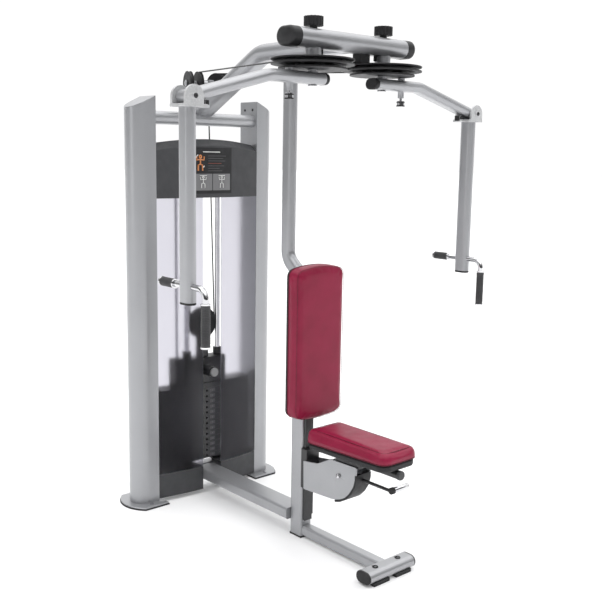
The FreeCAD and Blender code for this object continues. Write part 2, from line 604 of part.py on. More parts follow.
def lower_column():
    half, front = val("column_half"), -val("column_front")
    rear, wall, corner_radius = front + val("column_depth"), val("steel_wall"), val("beam_corner")
    outer = pad("column_outer", "XY", rectangle(-half, front, half, rear, corner_radius), "column_bottom",
                "column_top - column_bottom")
    inside = pad("column_inside", "XY", rectangle(wall - half, front + wall, half - wall, rear - wall,
                                                  corner_radius - wall), "column_bottom",
                 "column_top - column_bottom - steel_wall")
    sub_part("lower_column", cut("column", outer, inside))


def mast_path(top, bottom):
    upper, lower, bend = -val("mast_y"), -val("mast_foot_y"), val("mast_bend")
    return outline([(upper, top, 0), (upper, val("mast_bend_top"), bend),
                    (lower, val("mast_bend_bottom"), bend), (lower, bottom, 0)], closed=False)


def boom_path():
    """From the crossbar straight back, then down a slope to the tower."""
    bend_y, end_y, level = val("boom_bend_y"), val("boom_end_y"), val("boom_z") - val("boom_drop")
    drop = (end_y - bend_y) * sin(radians(val("boom_slope"))) / cos(radians(val("boom_slope")))
    return outline([(-val("crossbar_y") + 12, level, 0), (bend_y, level, val("boom_bend")),
                    (end_y, level - drop, 0)], closed=False)


def boom_solid(name, inset=0.0):
    """The boom, a little lower than the crossbar that it meets. The inset gives its hollow."""
    section = oval(val("boom_width") - 2 * inset, val("boom_height") - val("boom_relief") - 2 * inset, 0,
                   val("boom_z") - val("boom_drop"))
    return pipe(name, "XZ", "crossbar_y - 12", section, "YZ", boom_path())


def boom_and_mast():
    wall = val("steel_wall")
    far = box("boom_far_side", ("-boom_width", "boom_cut_y", "boom_z - 400"), "2 * boom_width", "200", "500")
    near = box("boom_inside_far", ("-boom_width", "boom_hollow_end", "boom_z - 400"), "2 * boom_width", "200",
               "500")
    tube = rod("boom_cope", ("-boom_width", "cross_tube_y", "cross_tube_z"), "X", "cross_tube_radius",
               "2 * boom_width")
    inside = cut("boom_hollow", boom_solid("boom_inside", wall), near)
    boom = cut("boom_tube", boom_solid("boom_outer"), inside, far, tube, crossbar_solid("boom_crossbar_cope"))
    sub_part("boom", boom)
    section = oval(val("mast_width"), val("mast_depth"), 0, -val("mast_y"))
    outer = pipe("mast_outer", "XY", "mast_top", section, "YZ", mast_path(val("mast_top"), val("column_top")))
    hollow = pipe("mast_inside", "XY", "mast_top",
                  oval(val("mast_width") - 2 * wall, val("mast_depth") - 2 * wall, 0, -val("mast_y")),
                  "YZ", mast_path(val("mast_top"), val("column_top")))
    sub_part("upper_column", cut("mast", outer, hollow, boom_solid("mast_cope")))


# ---------------------------------------------------------------- pivots, cams and idler pulleys

def pivots():
    """Everything that is fixed to the crossbar at the two pivots, drawn on the left side."""
    shaft = rod("pivot_shaft", ("-pivot_x", "-crossbar_y", "shaft_bottom"), "Z", "shaft_radius",
                "boom_z - boom_height / 2 - shaft_bottom")
    bolt = rod("pivot_bolt_head", ("-pivot_x", "-crossbar_y", "shaft_bottom - bolt_head - 0.4"), "Z",
               "bolt_head_radius", "bolt_head")
    neck = rod("pivot_bolt_neck", ("-pivot_x", "-crossbar_y", "shaft_bottom - bolt_head"), "Z",
               "shaft_radius", "bolt_head + 2")
    sub_part("pivot_shafts", pair("pivot_shaft_pair", fuse("pivot_shaft_whole", shaft, bolt, neck)))
    housing = rod("housing_outer", ("-pivot_x", "-crossbar_y", "housing_bottom"), "Z", "housing_radius",
                  "boom_z - housing_bottom")
    bore = rod("housing_bore", ("-pivot_x", "-crossbar_y", "housing_bottom - 1"), "Z", "shaft_radius", "90")
    sub_part("pivot_housings", pair("housing_pair", cut("housing", housing, bore,
                                                        crossbar_solid("housing_cope"))))
    stem = rod("knob_stem", ("-pivot_x", "-crossbar_y", "boom_z"), "Z", "knob_stem_radius",
               "knob_z - boom_z + 2")
    disc = rod("knob_disc", ("-pivot_x", "-crossbar_y", "knob_z"), "Z", "ridge_radius", "knob_height")
    scoops = []
    for i in range(int(val("ridge_count"))):
        turn = radians(360 * i / val("ridge_count"))
        scoops.append(rod(f"knob_scoop_{i}", (f"-pivot_x + (ridge_radius + 2) * {cos(turn):.6f}",
                                              f"-crossbar_y + (ridge_radius + 2) * {sin(turn):.6f}",
                                              "knob_z - 1"), "Z", "ridge_bore", "knob_height + 2"))
    knob = cut("knob_ridged", fuse("knob_whole", stem, disc), crossbar_solid("knob_cope"), *scoops)
    sub_part("pivot_knobs", pair("knob_pair", knob))
    stop = box("cam_stop_block", ("stop_x", "-stop_y", "stop_bottom"), "stop_width", "stop_depth",
               "boom_z - stop_bottom")
    nylon = rod("nylon_stop", ("-nylon_x", "-crossbar_y", "nylon_bottom"), "Z", "nylon_radius",
                "boom_z - nylon_bottom")
    sub_part("cam_stops", cut("cam_stop", stop, crossbar_solid("stop_cope")),
             pair("nylon_pair", cut("nylon_post", nylon, crossbar_solid("nylon_cope"))))


def cam():
    centre = ("-pivot_x", "-crossbar_y")
    lower = rod("cam_lower_flange", (*centre, "cam_bottom"), "Z", "cam_radius", "flange_thick")
    drum = rod("cam_drum", (*centre, "cam_bottom + flange_thick"), "Z", "drum_radius", "drum_height")
    upper = rod("cam_upper_flange", (*centre, "cam_bottom + flange_thick + drum_height"), "Z",
                "cam_radius", "flange_thick")
    index_plate = rod("index_plate", (*centre, "plate_bottom"), "Z", "plate_radius", "plate_height")
    posts = []
    for i in range(int(val("spacer_count"))):
        turn = radians(360 * i / val("spacer_count"))
        posts.append(rod(f"cam_spacer_{i}", (f"-pivot_x + spacer_ring * {cos(turn):.6f}",
                                             f"-crossbar_y + spacer_ring * {sin(turn):.6f}",
                                             "plate_bottom"), "Z", "spacer_radius",
                         "cam_bottom - plate_bottom + 1"))
    hub = rod("cam_hub", (*centre, "plate_bottom"), "Z", "housing_radius", "cam_bottom - plate_bottom + 1")
    solid = fuse("cam_solid", lower, drum, upper, index_plate, hub, *posts)
    holes = [rod("cam_bore", (*centre, "plate_bottom - 5"), "Z", "shaft_radius + running_fit", "60")]
    for i in range(int(val("index_holes"))):
        turn = radians(180 - val("index_step") * i)
        holes.append(rod(f"index_hole_{i}", (f"-pivot_x + index_radius * {cos(turn):.6f}",
                                             f"-crossbar_y + index_radius * {sin(turn):.6f}",
                                             "plate_bottom - 1"), "Z", "index_hole", "plate_height + 2"))
    turned = cut("cam_turned", solid, *holes)
    start, end = (radians(val(alias)) for alias in ("wrap_start", "wrap_end"))
    middle, reach = Vector(-val("pivot_x"), -val("crossbar_y"), val("cam_cable_z")), val("cam_cable_radius")
    points = [middle + Vector(cos(turn), sin(turn), 0) * reach for turn in (start, (start + end) / 2, end)]
    tube = tube_along([Part.Arc(*points)], Vector(-sin(start), cos(start), 0))
    return group("cam_with_cable", turned, feature("cam_cable_wrap", tube))


def cable_line():
    """The left cable's plan: the drum's tangent point, the idler's middle, and the way it runs."""
    pivot = Vector(-val("pivot_x"), -val("crossbar_y"), 0)
    idler = Vector(-val("idler_x"), val("idler_y"), 0)
    span = idler - pivot
    turn = atan2(span.y, span.x) + acos(val("cam_cable_radius") / span.Length)
    tangent = pivot + Vector(cos(turn), sin(turn), 0) * val("cam_cable_radius")
    return tangent, idler, (idler - tangent).normalize()


def cam_cables():
    tangent, idler, way = cable_line()
    reach = (idler - tangent).Length
    rise = val("idler_z") - val("cam_cable_z")
    radius = val("idler_cable")
    slope = atan2(rise, reach) + acos(0) - acos(radius / sqrt(reach ** 2 + rise ** 2))
    up = Vector(0, 0, 1)

    def around(turn):
        """A point on the idler's rim, turned from straight up towards the tower."""
        return idler + way * (radius * sin(turn)) + up * (val("idler_z") + radius * cos(turn))

    start = tangent + way * val("cam_cable_gap") + up * (val("cam_cable_z")
                                                         + val("cam_cable_gap") * sin(slope) / cos(slope))
    on = around(-slope)
    curves = [Part.LineSegment(start, on), Part.Arc(on, around((acos(0) - slope) / 2), around(acos(0)))]
    tube = feature("cam_cable_tube", tube_along(curves, on - start))
    sub_part("cam_cables", pair("cam_cable_pair", tube))
    top = around(acos(0))
    bottom = Vector(-val("pulley_cable"), val("stack_y"), val("pulley_z") + val("drop_gap"))
    drop = feature("cable_drop_tube", tube_along([Part.LineSegment(top, bottom)], bottom - top))
    sub_part("cable_drops", pair("cable_drop_pair", drop))


def idler_wheels():
    tangent, idler, way = cable_line()
    outward = Vector(-way.y, way.x, 0)
    wheel = groove_wheel(val("idler_radius"), val("idler_cable") - val("cable_radius")
                         - val("groove_clearance"), val("idler_width"),
                         val("idler_axle") + val("running_fit"), val("cable_radius") + 1)
    wheels = []
    for i in range(2):
        obj = feature(f"idler_wheel_{i}", wheel)
        centre = idler + outward * (val("idler_pitch") * i) + Vector(0, 0, val("idler_z"))
        obj.Placement = FreeCAD.Placement(centre, facing(outward))
        wheels.append(obj)
    return group("idler_wheels", *wheels)


def idler_bracket():
    tangent, idler, way = cable_line()
    outward = Vector(-way.y, way.x, 0)
    inward = val("idler_x") / -outward.x
    middle = idler - outward * inward + Vector(0, 0, val("idler_z"))
    block = box("idler_block", ("-bracket_half", "bracket_front", "bracket_bottom"), "2 * bracket_half",
                "bracket_depth", "bracket_top - bracket_bottom")
    parts = []
    for i, (start, radius, length) in enumerate((
            (0, val("idler_axle"), inward + val("idler_pitch") + val("idler_width")),
            (inward + val("idler_width") / 2 + 1, val("idler_axle") + 4,
             val("idler_pitch") - val("idler_width") - 2),
            (inward + val("idler_pitch") + val("idler_width") / 2 + 1, val("idler_axle") + 6, 5),
            (0, val("idler_axle") + 6, inward - val("idler_width") / 2 - 1))):
        parts.append(Part.makeCylinder(radius, length, middle + outward * start, outward))
    axle = feature("idler_axle_left", parts[0].multiFuse(parts[1:]))
    solid = fuse("idler_bracket_solid", block, axle, mirror("idler_axle_right", axle))
    sub_part("idler_bracket", cut("idler_bracket_coped", solid, boom_solid("idler_cope")))


# ---------------------------------------------------------------- arms, drawn on the left side

def arm_path():
    return outline([(-val("arm_inner"), val("arm_z"), 0), (-val("arm_bend_x"), val("arm_z"), val("arm_bend")),
                    (-val("arm_end_x"), val("arm_end_z"), 0)], closed=False)


def arm_section(name, inset=0.0):
    section = oval(val("arm_depth") - 2 * inset, val("arm_height") - 2 * inset, -val("crossbar_y"),
                   val("arm_z"))
    return pipe(name, "YZ", "-arm_inner", section, "XZ", arm_path(), "crossbar_y")


def arm():
    centre = ("-pivot_x", "-crossbar_y")
    barrel_at = ("-hinge_x", "-crossbar_y - barrel_length / 2", "hinge_z")
    barrel = rod("barrel", barrel_at, "Y", "barrel_radius", "barrel_length")
    hub = rod("arm_hub", (*centre, "arm_z - arm_height / 2"), "Z", "shaft_radius + 6", "arm_height + 9")
    collar = rod("index_collar", ("-index_x", "-crossbar_y", "index_collar_bottom"), "Z",
                 "index_collar_radius", "arm_z - index_collar_bottom")
    carrier = rod("index_carrier", ("-index_x", "-crossbar_y", "arm_z"), "Z", "carrier_radius",
                  "plate_bottom - arm_z - 0.6")
    tube = cut("arm_tube_hollow", arm_section("arm_outer"), arm_section("arm_inside", val("arm_wall")))
    solid = fuse("arm_solid", tube, barrel, hub, collar, carrier)
    bore = rod("arm_bore", (*centre, "arm_z - through / 2"), "Z", "shaft_radius + running_fit", "through")
    guide = rod("index_guide", ("-index_x", "-crossbar_y", "index_collar_bottom - 1"), "Z",
                "index_pin_radius + running_fit", "100")
    eye = rod("barrel_bore", ("-hinge_x", "-crossbar_y - barrel_length / 2 - 1", "hinge_z"), "Y",
              "hinge_pin_radius + running_fit", "barrel_length + 2")
    plug = pad("arm_plug_outline", "YZ", oval(val("arm_depth"), val("arm_height"), -val("crossbar_y"),
                                              val("arm_z")), "-arm_inner", "arm_plug")
    pin = rod("index_pin", ("-index_x", "-crossbar_y", "index_pin_bottom"), "Z", "index_pin_radius",
              "index_tip - index_pin_bottom")
    pull = rod("index_pull", ("-index_x", "-crossbar_y", "index_pin_bottom"), "Z", "index_knob_radius",
               "index_collar_bottom - index_pin_bottom - index_pull_gap")
    return {"arm": cut("arm_machined", solid, bore, guide, eye), "arm_plug": plug,
            "index_pin": fuse("index_pin_whole", pin, pull)}


def clevis():
    ears = []
    for name, y in (("ear_front", "-crossbar_y - ear_inner - ear_thick"),
                    ("ear_rear", "-crossbar_y + ear_inner")):
        disc = rod(name + "_disc", ("-hinge_x", y, "hinge_z"), "Y", "ear_radius", "ear_thick")
        web = box(name + "_web", ("-hinge_x - ear_foot_half", y, "clevis_bottom"), "2 * ear_foot_half",
                  "ear_thick", "hinge_z - clevis_bottom")
        below = box(name + "_below", ("-hinge_x - 60", y, "clevis_bottom - 60"), "120", "ear_thick", "60")
        ears += [cut(name, fuse(name + "_whole", disc, web), below)]
    plate = box("clevis_plate_box", ("-clevis_inner - clevis_length", "-crossbar_y - clevis_depth / 2",
                                     "clevis_bottom"), "clevis_length", "clevis_depth", "clevis_plate")
    rest_shelf = box("rest_shelf", ("-clevis_inner", "-crossbar_y - rest_depth / 2 - 3", "clevis_bottom"),
                     "clevis_inner - rest_inner", "rest_depth + 6", "clevis_plate")
    rest = box("rest_pad", ("-rest_inner - rest_length", "-crossbar_y - rest_depth / 2", "clevis_bottom + 2"),
               "rest_length", "rest_depth", "rest_top - clevis_bottom - 2")
    pin = rod("hinge_pin", ("-hinge_x", "-crossbar_y - ear_inner - ear_thick - 6", "hinge_z"), "Y",
              "hinge_pin_radius", "2 * ear_inner + 2 * ear_thick + 12")
    return fuse("clevis_whole", *ears, plate, rest_shelf, rest, pin)


def forearm():
    wall = val("forearm_wall")
    width, depth = val("forearm_width"), val("forearm_depth")
    height = "clevis_bottom - forearm_bottom"
    tube = hollow_pad("forearm_tube", "XY", oval(width, depth, -val("hinge_x"), -val("crossbar_y")),
                      oval(width - 2 * wall, depth - 2 * wall, -val("hinge_x"), -val("crossbar_y")),
                      "forearm_bottom", height)
    hole = rod("handle_hole", ("-hinge_x", "-crossbar_y - forearm_depth", "handle_z"), "Y", "handle_radius",
               "2 * forearm_depth")
    plug = pad("forearm_plug_outline", "XY", oval(width, depth, -val("hinge_x"), -val("crossbar_y")),
               "forearm_bottom - forearm_plug", "forearm_plug")
    path = outline([(-val("handle_rear_y"), val("handle_z"), 0),
                    (-val("handle_front_y"), val("handle_z"), val("handle_bend")),
                    (-val("handle_front_y"), val("handle_bottom"), 0)], closed=False)
    ring = Part.Circle(Vector(-val("hinge_x"), val("handle_z"), 0), Vector(0, 0, 1), val("handle_radius"))
    bar = pipe("handle_bar", "XZ", "handle_rear_y", [ring], "YZ", path, "-hinge_x")
    down = ("-hinge_x", "-handle_front_y", "grip_bottom")
    grip = cut("grip_sleeve", rod("grip_outer", down, "Z", "grip_radius", "grip_top - grip_bottom"),
               rod("grip_bore", down, "Z", "handle_radius", "through"))
    back = ("-hinge_x", "-stub_grip_front", "handle_z")
    stub = cut("stub_sleeve", rod("stub_outer", back, "Y", "grip_radius", "stub_grip_front - stub_grip_rear"),
               rod("stub_bore", back, "Y", "handle_radius", "through"))
    return {"forearm": cut("forearm_drilled", tube, hole), "forearm_plug": plug, "handle_bar": bar,
            "handle_grips": group("grips", grip, stub)}


# ---------------------------------------------------------------- backrest and seat

def back_outline(inset):
    half, low, high = val("back_half") - inset, val("back_bottom") + inset, val("back_top") - inset
    side_low, side_high = low + val("back_corner_rise"), high - val("back_corner_drop")
    knee = half * val("back_knee")
    bottom = Part.Arc(Vector(-knee, side_low - 8, 0), Vector(0, low, 0), Vector(knee, side_low - 8, 0))
    top = Part.Arc(Vector(knee, side_high + 12, 0), Vector(0, high, 0), Vector(-knee, side_high + 12, 0))
    points = [(knee, side_low - 8, 0), (half, side_low + 6, val("back_bottom_radius")),
              (half, side_high + 4, val("back_top_radius")),
              (knee, side_high + 12, 0)]
    right = outline(points, closed=False)
    left = outline([(-x, y, r) for x, y, r in reversed(points)], closed=False)
    return [bottom, *right, top, *left]


def backrest():
    cushion = pad("back_cushion", "XZ", back_outline(0), "back_rear", "back_front - back_rear")
    board = pad("back_board", "XZ", back_outline(val("board_inset")), "board_rear", "back_rear - board_rear")
    sub_part("backrest_cushion", cushion)
    sub_part("backrest_board", board)


def seat_plan(name, inset, low, high):
    half, rear, front = val("seat_half") - inset, -val("seat_rear") - inset, -val("seat_front") + inset
    edges = outline([(-half, front, val("seat_corner")), (half, front, val("seat_corner")),
                     (half, rear, val("seat_rear_corner")), (-half, rear, val("seat_rear_corner"))])
    return pad(name, "XY", edges, low, high)


def seat_side(name, low_rear, low_front, high_rear, high_front):
    rear, front = -val("seat_rear"), -val("seat_front")
    edges = outline([(front, low_front, 0), (rear, low_rear, 0), (rear, high_rear, 0),
                     (front, high_front, 0)])
    return pad(name, "YZ", edges, "-seat_half - 5", "2 * seat_half + 10")


# The seat bracket's side plate seen from the side, as (y, z, corner radius): a hollow top edge at the rear
# and a front that sweeps round to the bottom.
SIDE_PLATE = [(-209, 348, 0), (-294, 360, 60), (-369, 400, 12), (-515, 404, 6), (-514, 345, 90),
              (-462, 262, 110), (-395, 238, 150), (-212, 228, 6)]


def seat():
    cushion = common("seat_pad_shape", seat_plan("seat_pad_plan", 0, "seat_base_rear", "120"),
                     seat_side("seat_pad_side", val("seat_pad_rear"), val("seat_pad_front"),
                               val("seat_top_rear"), val("seat_top_front")))
    base = common("seat_base_shape", seat_plan("seat_base_plan", val("seat_base_inset"),
                                               "seat_base_rear - 10", "120"),
                  seat_side("seat_base_side", val("seat_base_rear"), val("seat_base_front"),
                            val("seat_pad_rear"), val("seat_pad_front")))
    sub_part("seat_cushion", cushion)
    sub_part("seat_base", base)
    plate = pad("side_plate", "YZ", outline(SIDE_PLATE), "-side_plate_x - side_plate_thick",
                "side_plate_thick")
    bolt = rod("cross_bolt", ("-side_plate_x - side_plate_thick - 5", "-cross_bolt_y", "cross_bolt_z"), "X",
               "cross_bolt_radius", "2 * side_plate_x + 2 * side_plate_thick + 10")
    pin = rod("lever_pivot", ("-side_plate_x - 1", "-lever_y", "lever_z"), "X", "lever_pin",
              "2 * side_plate_x + 2")
    sub_part("seat_bracket", fuse("bracket_whole", plate, mirror("side_plate_right", plate), bolt, pin))
    carriage = box("carriage_block", ("-carriage_half", "-carriage_front", "carriage_bottom"),
                   "2 * carriage_half", "carriage_front - carriage_rear", "carriage_top - carriage_bottom")
    slot = box("carriage_slot", ("-rail_half - running_fit", "-column_front - rail_depth - running_fit",
                                 "carriage_bottom - 1"), "2 * rail_half + 2 * running_fit", "40", "200")
    notch = box("carriage_notch", ("rack_x - 0.6", "-column_front - rack_depth - 0.6", "carriage_bottom - 1"),
                "rack_width + 1.2", "40", "200")
    support = box("support_box", ("-support_half", "-support_front", "support_bottom"), "2 * support_half",
                  "support_front - support_rear", "support_top - support_bottom")
    tube = rod("support_tube", ("0", "-support_tube_front", "support_tube_z"), "Y", "support_tube_radius",
               "support_tube_front - support_front + 5")
    sub_part("seat_slide", cut("carriage", carriage, slot, notch), fuse("support", support, tube))
    path = outline([(0, -val("lever_y"), 0), (0, -val("lever_tip_y"), val("lever_bend")),
                    (val("lever_grip_x") + val("lever_grip_length"), -val("lever_tip_y"), 0)], closed=False)
    ring = Part.Circle(Vector(0, val("lever_z"), 0), Vector(0, 0, 1), val("lever_rod"))
    bar = pipe("lever_bar", "XZ", "lever_y", [ring], "XY", path, "lever_z")
    hub = rod("lever_hub_disc", ("-support_half + 10", "-lever_y", "lever_z"), "X", "lever_hub",
              "2 * support_half - 20")
    grip = rod("lever_grip", ("lever_grip_x", "-lever_tip_y", "lever_z"), "X", "lever_grip_radius",
               "lever_grip_length + 2")
    bore = rod("lever_bore", ("-support_half", "-lever_y", "lever_z"), "X", "lever_pin + running_fit",
               "2 * support_half")
    sub_part("seat_lever", cut("lever", fuse("lever_whole", bar, hub, grip), bore))
    rail = box("rail", ("-rail_half", "-column_front - rail_depth", "rail_bottom"), "2 * rail_half",
               "rail_depth", "rail_top - rail_bottom")
    rack = box("rack", ("rack_x", "-column_front - rack_depth", "rack_bottom"), "rack_width", "rack_depth",
               "rack_top - rack_bottom")
    sub_part("seat_rail", rail, rack)


# ---------------------------------------------------------------- the whole machine

uprights()
tower_members()
tower_covers()
stack()
head()
base_beams()
front_foot()
crossbar_and_caps()
lower_column()
boom_and_mast()
pivots()
cam_cables()
idler_bracket()
backrest()
seat()
left_side = {"cam": cam(), "idler_pulleys": idler_wheels(), **arm(), "clevis": clevis(), **forearm()}
for label, part in left_side.items():
    for side in SIDES:
        sided(label, side, part)

doc.recompute()
for obj in doc.Objects:
    if any(state in ("Invalid", "Error") for state in obj.State):
        raise RuntimeError(f"{obj.Name} failed: {obj.State}")
os.makedirs("parts", exist_ok=True)
whole = FreeCAD.BoundBox()
for obj in sub_parts:
    shape = obj.Shape
    if shape.isNull() or not shape.isValid() or not shape.Solids:
        raise RuntimeError(f"{obj.Label} has no valid solid")
    whole.add(shape.BoundBox)
    print(f"{obj.Label}: {len(shape.Solids)} solids, {shape.Volume / 1000:.1f} cm3")
    shape.exportStep(f"parts/{obj.Label}.step")
print(f"{len(sub_parts)} sub-parts, box {whole}")
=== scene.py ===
"""Pec deck machine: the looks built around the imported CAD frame. Metres, +Z up, the user faces -Y."""
import json
import math

import bmesh
import bpy
from mathutils import Matrix, Vector


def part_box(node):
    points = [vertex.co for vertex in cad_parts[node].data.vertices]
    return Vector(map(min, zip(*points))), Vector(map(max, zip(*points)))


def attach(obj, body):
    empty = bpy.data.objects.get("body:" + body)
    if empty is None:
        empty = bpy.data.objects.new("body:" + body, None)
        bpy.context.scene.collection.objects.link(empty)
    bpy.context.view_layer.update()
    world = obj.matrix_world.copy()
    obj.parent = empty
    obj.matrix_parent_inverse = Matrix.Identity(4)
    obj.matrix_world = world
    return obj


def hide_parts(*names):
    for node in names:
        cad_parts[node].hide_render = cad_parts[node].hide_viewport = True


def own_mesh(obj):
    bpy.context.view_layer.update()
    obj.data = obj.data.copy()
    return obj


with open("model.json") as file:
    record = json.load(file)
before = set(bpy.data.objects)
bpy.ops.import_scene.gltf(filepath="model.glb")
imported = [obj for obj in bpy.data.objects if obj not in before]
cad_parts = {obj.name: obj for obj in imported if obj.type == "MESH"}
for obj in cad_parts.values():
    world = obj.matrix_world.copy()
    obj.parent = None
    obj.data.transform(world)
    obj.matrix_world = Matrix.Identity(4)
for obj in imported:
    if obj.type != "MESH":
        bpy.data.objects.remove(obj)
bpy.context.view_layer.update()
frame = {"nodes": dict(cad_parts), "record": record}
NODES = frame["nodes"]
BODY_OF = {node: body for body, members in frame["record"]["behaviour"]["bodies"].items() for node in members}
SLOT_OF = {entry["node"]: entry["material_slot"] for entry in frame["record"]["subparts"]}
SIDES = {"left": -1, "right": 1}
CAM_FRAMES = 20


# ---------------------------------------------------------------- camera, floor and light

CAMERA_AT = Vector((-2.393, -2.8155, 1.598))
CAMERA_YAW, CAMERA_PITCH, CAMERA_ROLL = (math.radians(angle) for angle in (41.57, 9.38, 0.94))
LENS = 53.5


def make_camera():
    data = bpy.data.cameras.new("camera")
    data.lens = LENS
    data.sensor_width = 36
    camera = bpy.data.objects.new("camera", data)
    bpy.context.scene.collection.objects.link(camera)
    ahead = Vector((math.sin(CAMERA_YAW) * math.cos(CAMERA_PITCH),
                    math.cos(CAMERA_YAW) * math.cos(CAMERA_PITCH), -math.sin(CAMERA_PITCH)))
    side = Vector((math.cos(CAMERA_YAW), -math.sin(CAMERA_YAW), 0))
    above = side.cross(ahead)
    turned_side = side * math.cos(CAMERA_ROLL) + above * math.sin(CAMERA_ROLL)
    turned_above = above * math.cos(CAMERA_ROLL) - side * math.sin(CAMERA_ROLL)
    camera.matrix_world = Matrix((
        (turned_side.x, turned_above.x, -ahead.x, CAMERA_AT.x),
        (turned_side.y, turned_above.y, -ahead.y, CAMERA_AT.y),
        (turned_side.z, turned_above.z, -ahead.z, CAMERA_AT.z),
        (0, 0, 0, 1)))
    bpy.context.scene.camera = camera


def area_light(name, at, target, size, power, tint=(1, 1, 1)):
    data = bpy.data.lights.new(name, "AREA")
    data.shape = "RECTANGLE"
    data.size, data.size_y = size
    data.energy = power
    data.color = tint
    light = bpy.data.objects.new(name, data)
    bpy.context.scene.collection.objects.link(light)
    light.location = at
    light.rotation_euler = (Vector(target) - Vector(at)).to_track_quat("-Z", "Y").to_euler()
    return light


def sun(name, direction, strength, spread):
    data = bpy.data.lights.new(name, "SUN")
    data.energy = strength
    data.angle = math.radians(spread)
    light = bpy.data.objects.new(name, data)
    bpy.context.scene.collection.objects.link(light)
    light.rotation_euler = Vector(direction).to_track_quat("-Z", "Y").to_euler()


# The surround's brightness as (place, grey) stops: along the camera's direction, and from below to above.
WORLD_AHEAD = ((0.0, 0.08), (0.45, 0.10), (0.66, 0.34), (0.84, 1.0))
WORLD_HEIGHT = ((0.0, 0.0), (0.66, 0.0), (0.82, 0.55), (0.92, 1.6))


def make_world():
    """A pale surround: white ahead of the camera and overhead, grey behind the camera."""
    world = bpy.data.worlds.new("studio")
    bpy.context.scene.world = world
    world.use_nodes = True
    tree = world.node_tree
    background = tree.nodes["Background"]
    place = tree.nodes.new("ShaderNodeTexCoord")
    values = []
    for axis in ((math.sin(CAMERA_YAW), math.cos(CAMERA_YAW), 0), (0, 0, 1)):
        dot = tree.nodes.new("ShaderNodeVectorMath")
        dot.operation = "DOT_PRODUCT"
        dot.inputs[1].default_value = axis
        tree.links.new(place.outputs["Generated"], dot.inputs[0])
        values.append(dot.outputs["Value"])
    ramps = []
    for value, stops in zip(values, (WORLD_AHEAD, WORLD_HEIGHT)):
        scaled = tree.nodes.new("ShaderNodeMapRange")
        scaled.inputs["From Min"].default_value = -1
        tree.links.new(value, scaled.inputs["Value"])
        ramp = tree.nodes.new("ShaderNodeValToRGB")
        elements = ramp.color_ramp.elements
        while len(elements) < len(stops):
            elements.new(0.5)
        for element, (position, grey) in zip(elements, stops):
            element.position = position
            element.color = (grey, grey, grey, 1)
        tree.links.new(scaled.outputs["Result"], ramp.inputs["Fac"])
        ramps.append(ramp.outputs["Color"])
    lightest = tree.nodes.new("ShaderNodeMix")
    lightest.data_type = "RGBA"
    lightest.blend_type = "LIGHTEN"
    lightest.inputs["Factor"].default_value = 1
    tree.links.new(ramps[0], lightest.inputs[6])
    tree.links.new(ramps[1], lightest.inputs[7])
    tree.links.new(lightest.outputs[2], background.inputs["Color"])
    background.inputs["Strength"].default_value = 1.02


def make_studio():
    make_world()
    middle = (0, 0, 1.0)
    area_light("left_box", (-4.2, 0.6, 2.6), middle, (0.9, 3.6), 16)
    area_light("front_box", (-1.2, -5.4, 3.4), middle, (1.4, 1.6), 4)
    area_light("right_box", (3.6, -2.6, 2.2), middle, (0.8, 3.2), 9)
    sun("overhead", (0, 0.05, -1), 1.75, 110)
    mesh = bpy.data.meshes.new("floor")
    reach = 60
    mesh.from_pydata([(-reach, -reach, 0), (reach, -reach, 0), (reach, reach, 0), (-reach, reach, 0)], [],
                     [(0, 1, 2, 3)])
    floor = bpy.data.objects.new("floor", mesh)
    bpy.context.scene.collection.objects.link(floor)
    floor.data.materials.append(plain_floor())
    bpy.context.scene.view_settings.view_transform = "Standard"


# ---------------------------------------------------------------- materials

class Shader:
    """A node material around one Principled shader, read in the piece's own metres."""

    def __init__(self, name, roughness, metallic=0.0, **sockets):
        self.material = bpy.data.materials.new(name)
        self.material.use_nodes = True
        self.tree = self.material.node_tree
        self.shader = self.tree.nodes["Principled BSDF"]
        self.shader.inputs["Roughness"].default_value = roughness
        self.shader.inputs["Metallic"].default_value = metallic
        for socket, value in sockets.items():
            self.shader.inputs[socket.replace("_", " ")].default_value = value
        self.place = self.node("ShaderNodeTexCoord").outputs["Object"]

    def node(self, kind, **inputs):
        made = self.tree.nodes.new(kind)
        for name, value in inputs.items():
            made.inputs[name].default_value = value
        return made

    def link(self, output, target):
        self.tree.links.new(output, target)

    def noise(self, scale, detail=3.0, roughness=0.55):
        made = self.node("ShaderNodeTexNoise", Scale=scale, Detail=detail, Roughness=roughness)
        self.link(self.place, made.inputs["Vector"])
        return made.outputs["Fac"]

    def cells(self, scale, feature="F1"):
        made = self.node("ShaderNodeTexVoronoi", Scale=scale)
        made.feature = feature
        self.link(self.place, made.inputs["Vector"])
        return made.outputs["Distance"]

    def ramp(self, source, low, high, start=0.3, end=0.7):
        """Maps a 0..1 pattern between two colours or two numbers."""
        colours = not isinstance(low, (int, float))
        made = self.node("ShaderNodeValToRGB")
        made.color_ramp.elements[0].position, made.color_ramp.elements[1].position = start, end
        for element, value in zip(made.color_ramp.elements, (low, high)):
            element.color = (*value, 1) if colours else (value, value, value, 1)
        self.link(source, made.inputs["Fac"])
        return made.outputs["Color"]

    def mix(self, fac, first, second):
        made = self.tree.nodes.new("ShaderNodeMix")
        made.data_type = "RGBA"
        self.link(fac, made.inputs["Factor"])
        self.link(first, made.inputs[6])
        self.link(second, made.inputs[7])
        return made.outputs[2]

    def colour(self, low, high, scale, start=0.3, end=0.7):
        source = self.ramp(self.noise(scale), low, high, start, end)
        self.link(source, self.shader.inputs["Base Color"])
        return source

    def rough(self, low, high, scale):
        self.link(self.ramp(self.noise(scale, 5.0), low, high), self.shader.inputs["Roughness"])

    def bump(self, height, strength, distance, onto=None):
        made = self.node("ShaderNodeBump", Strength=strength, Distance=distance)
        self.link(height, made.inputs["Height"])
        if onto is not None:
            self.link(onto, made.inputs["Normal"])
        self.link(made.outputs["Normal"], self.shader.inputs["Normal"])
        return made.outputs["Normal"]


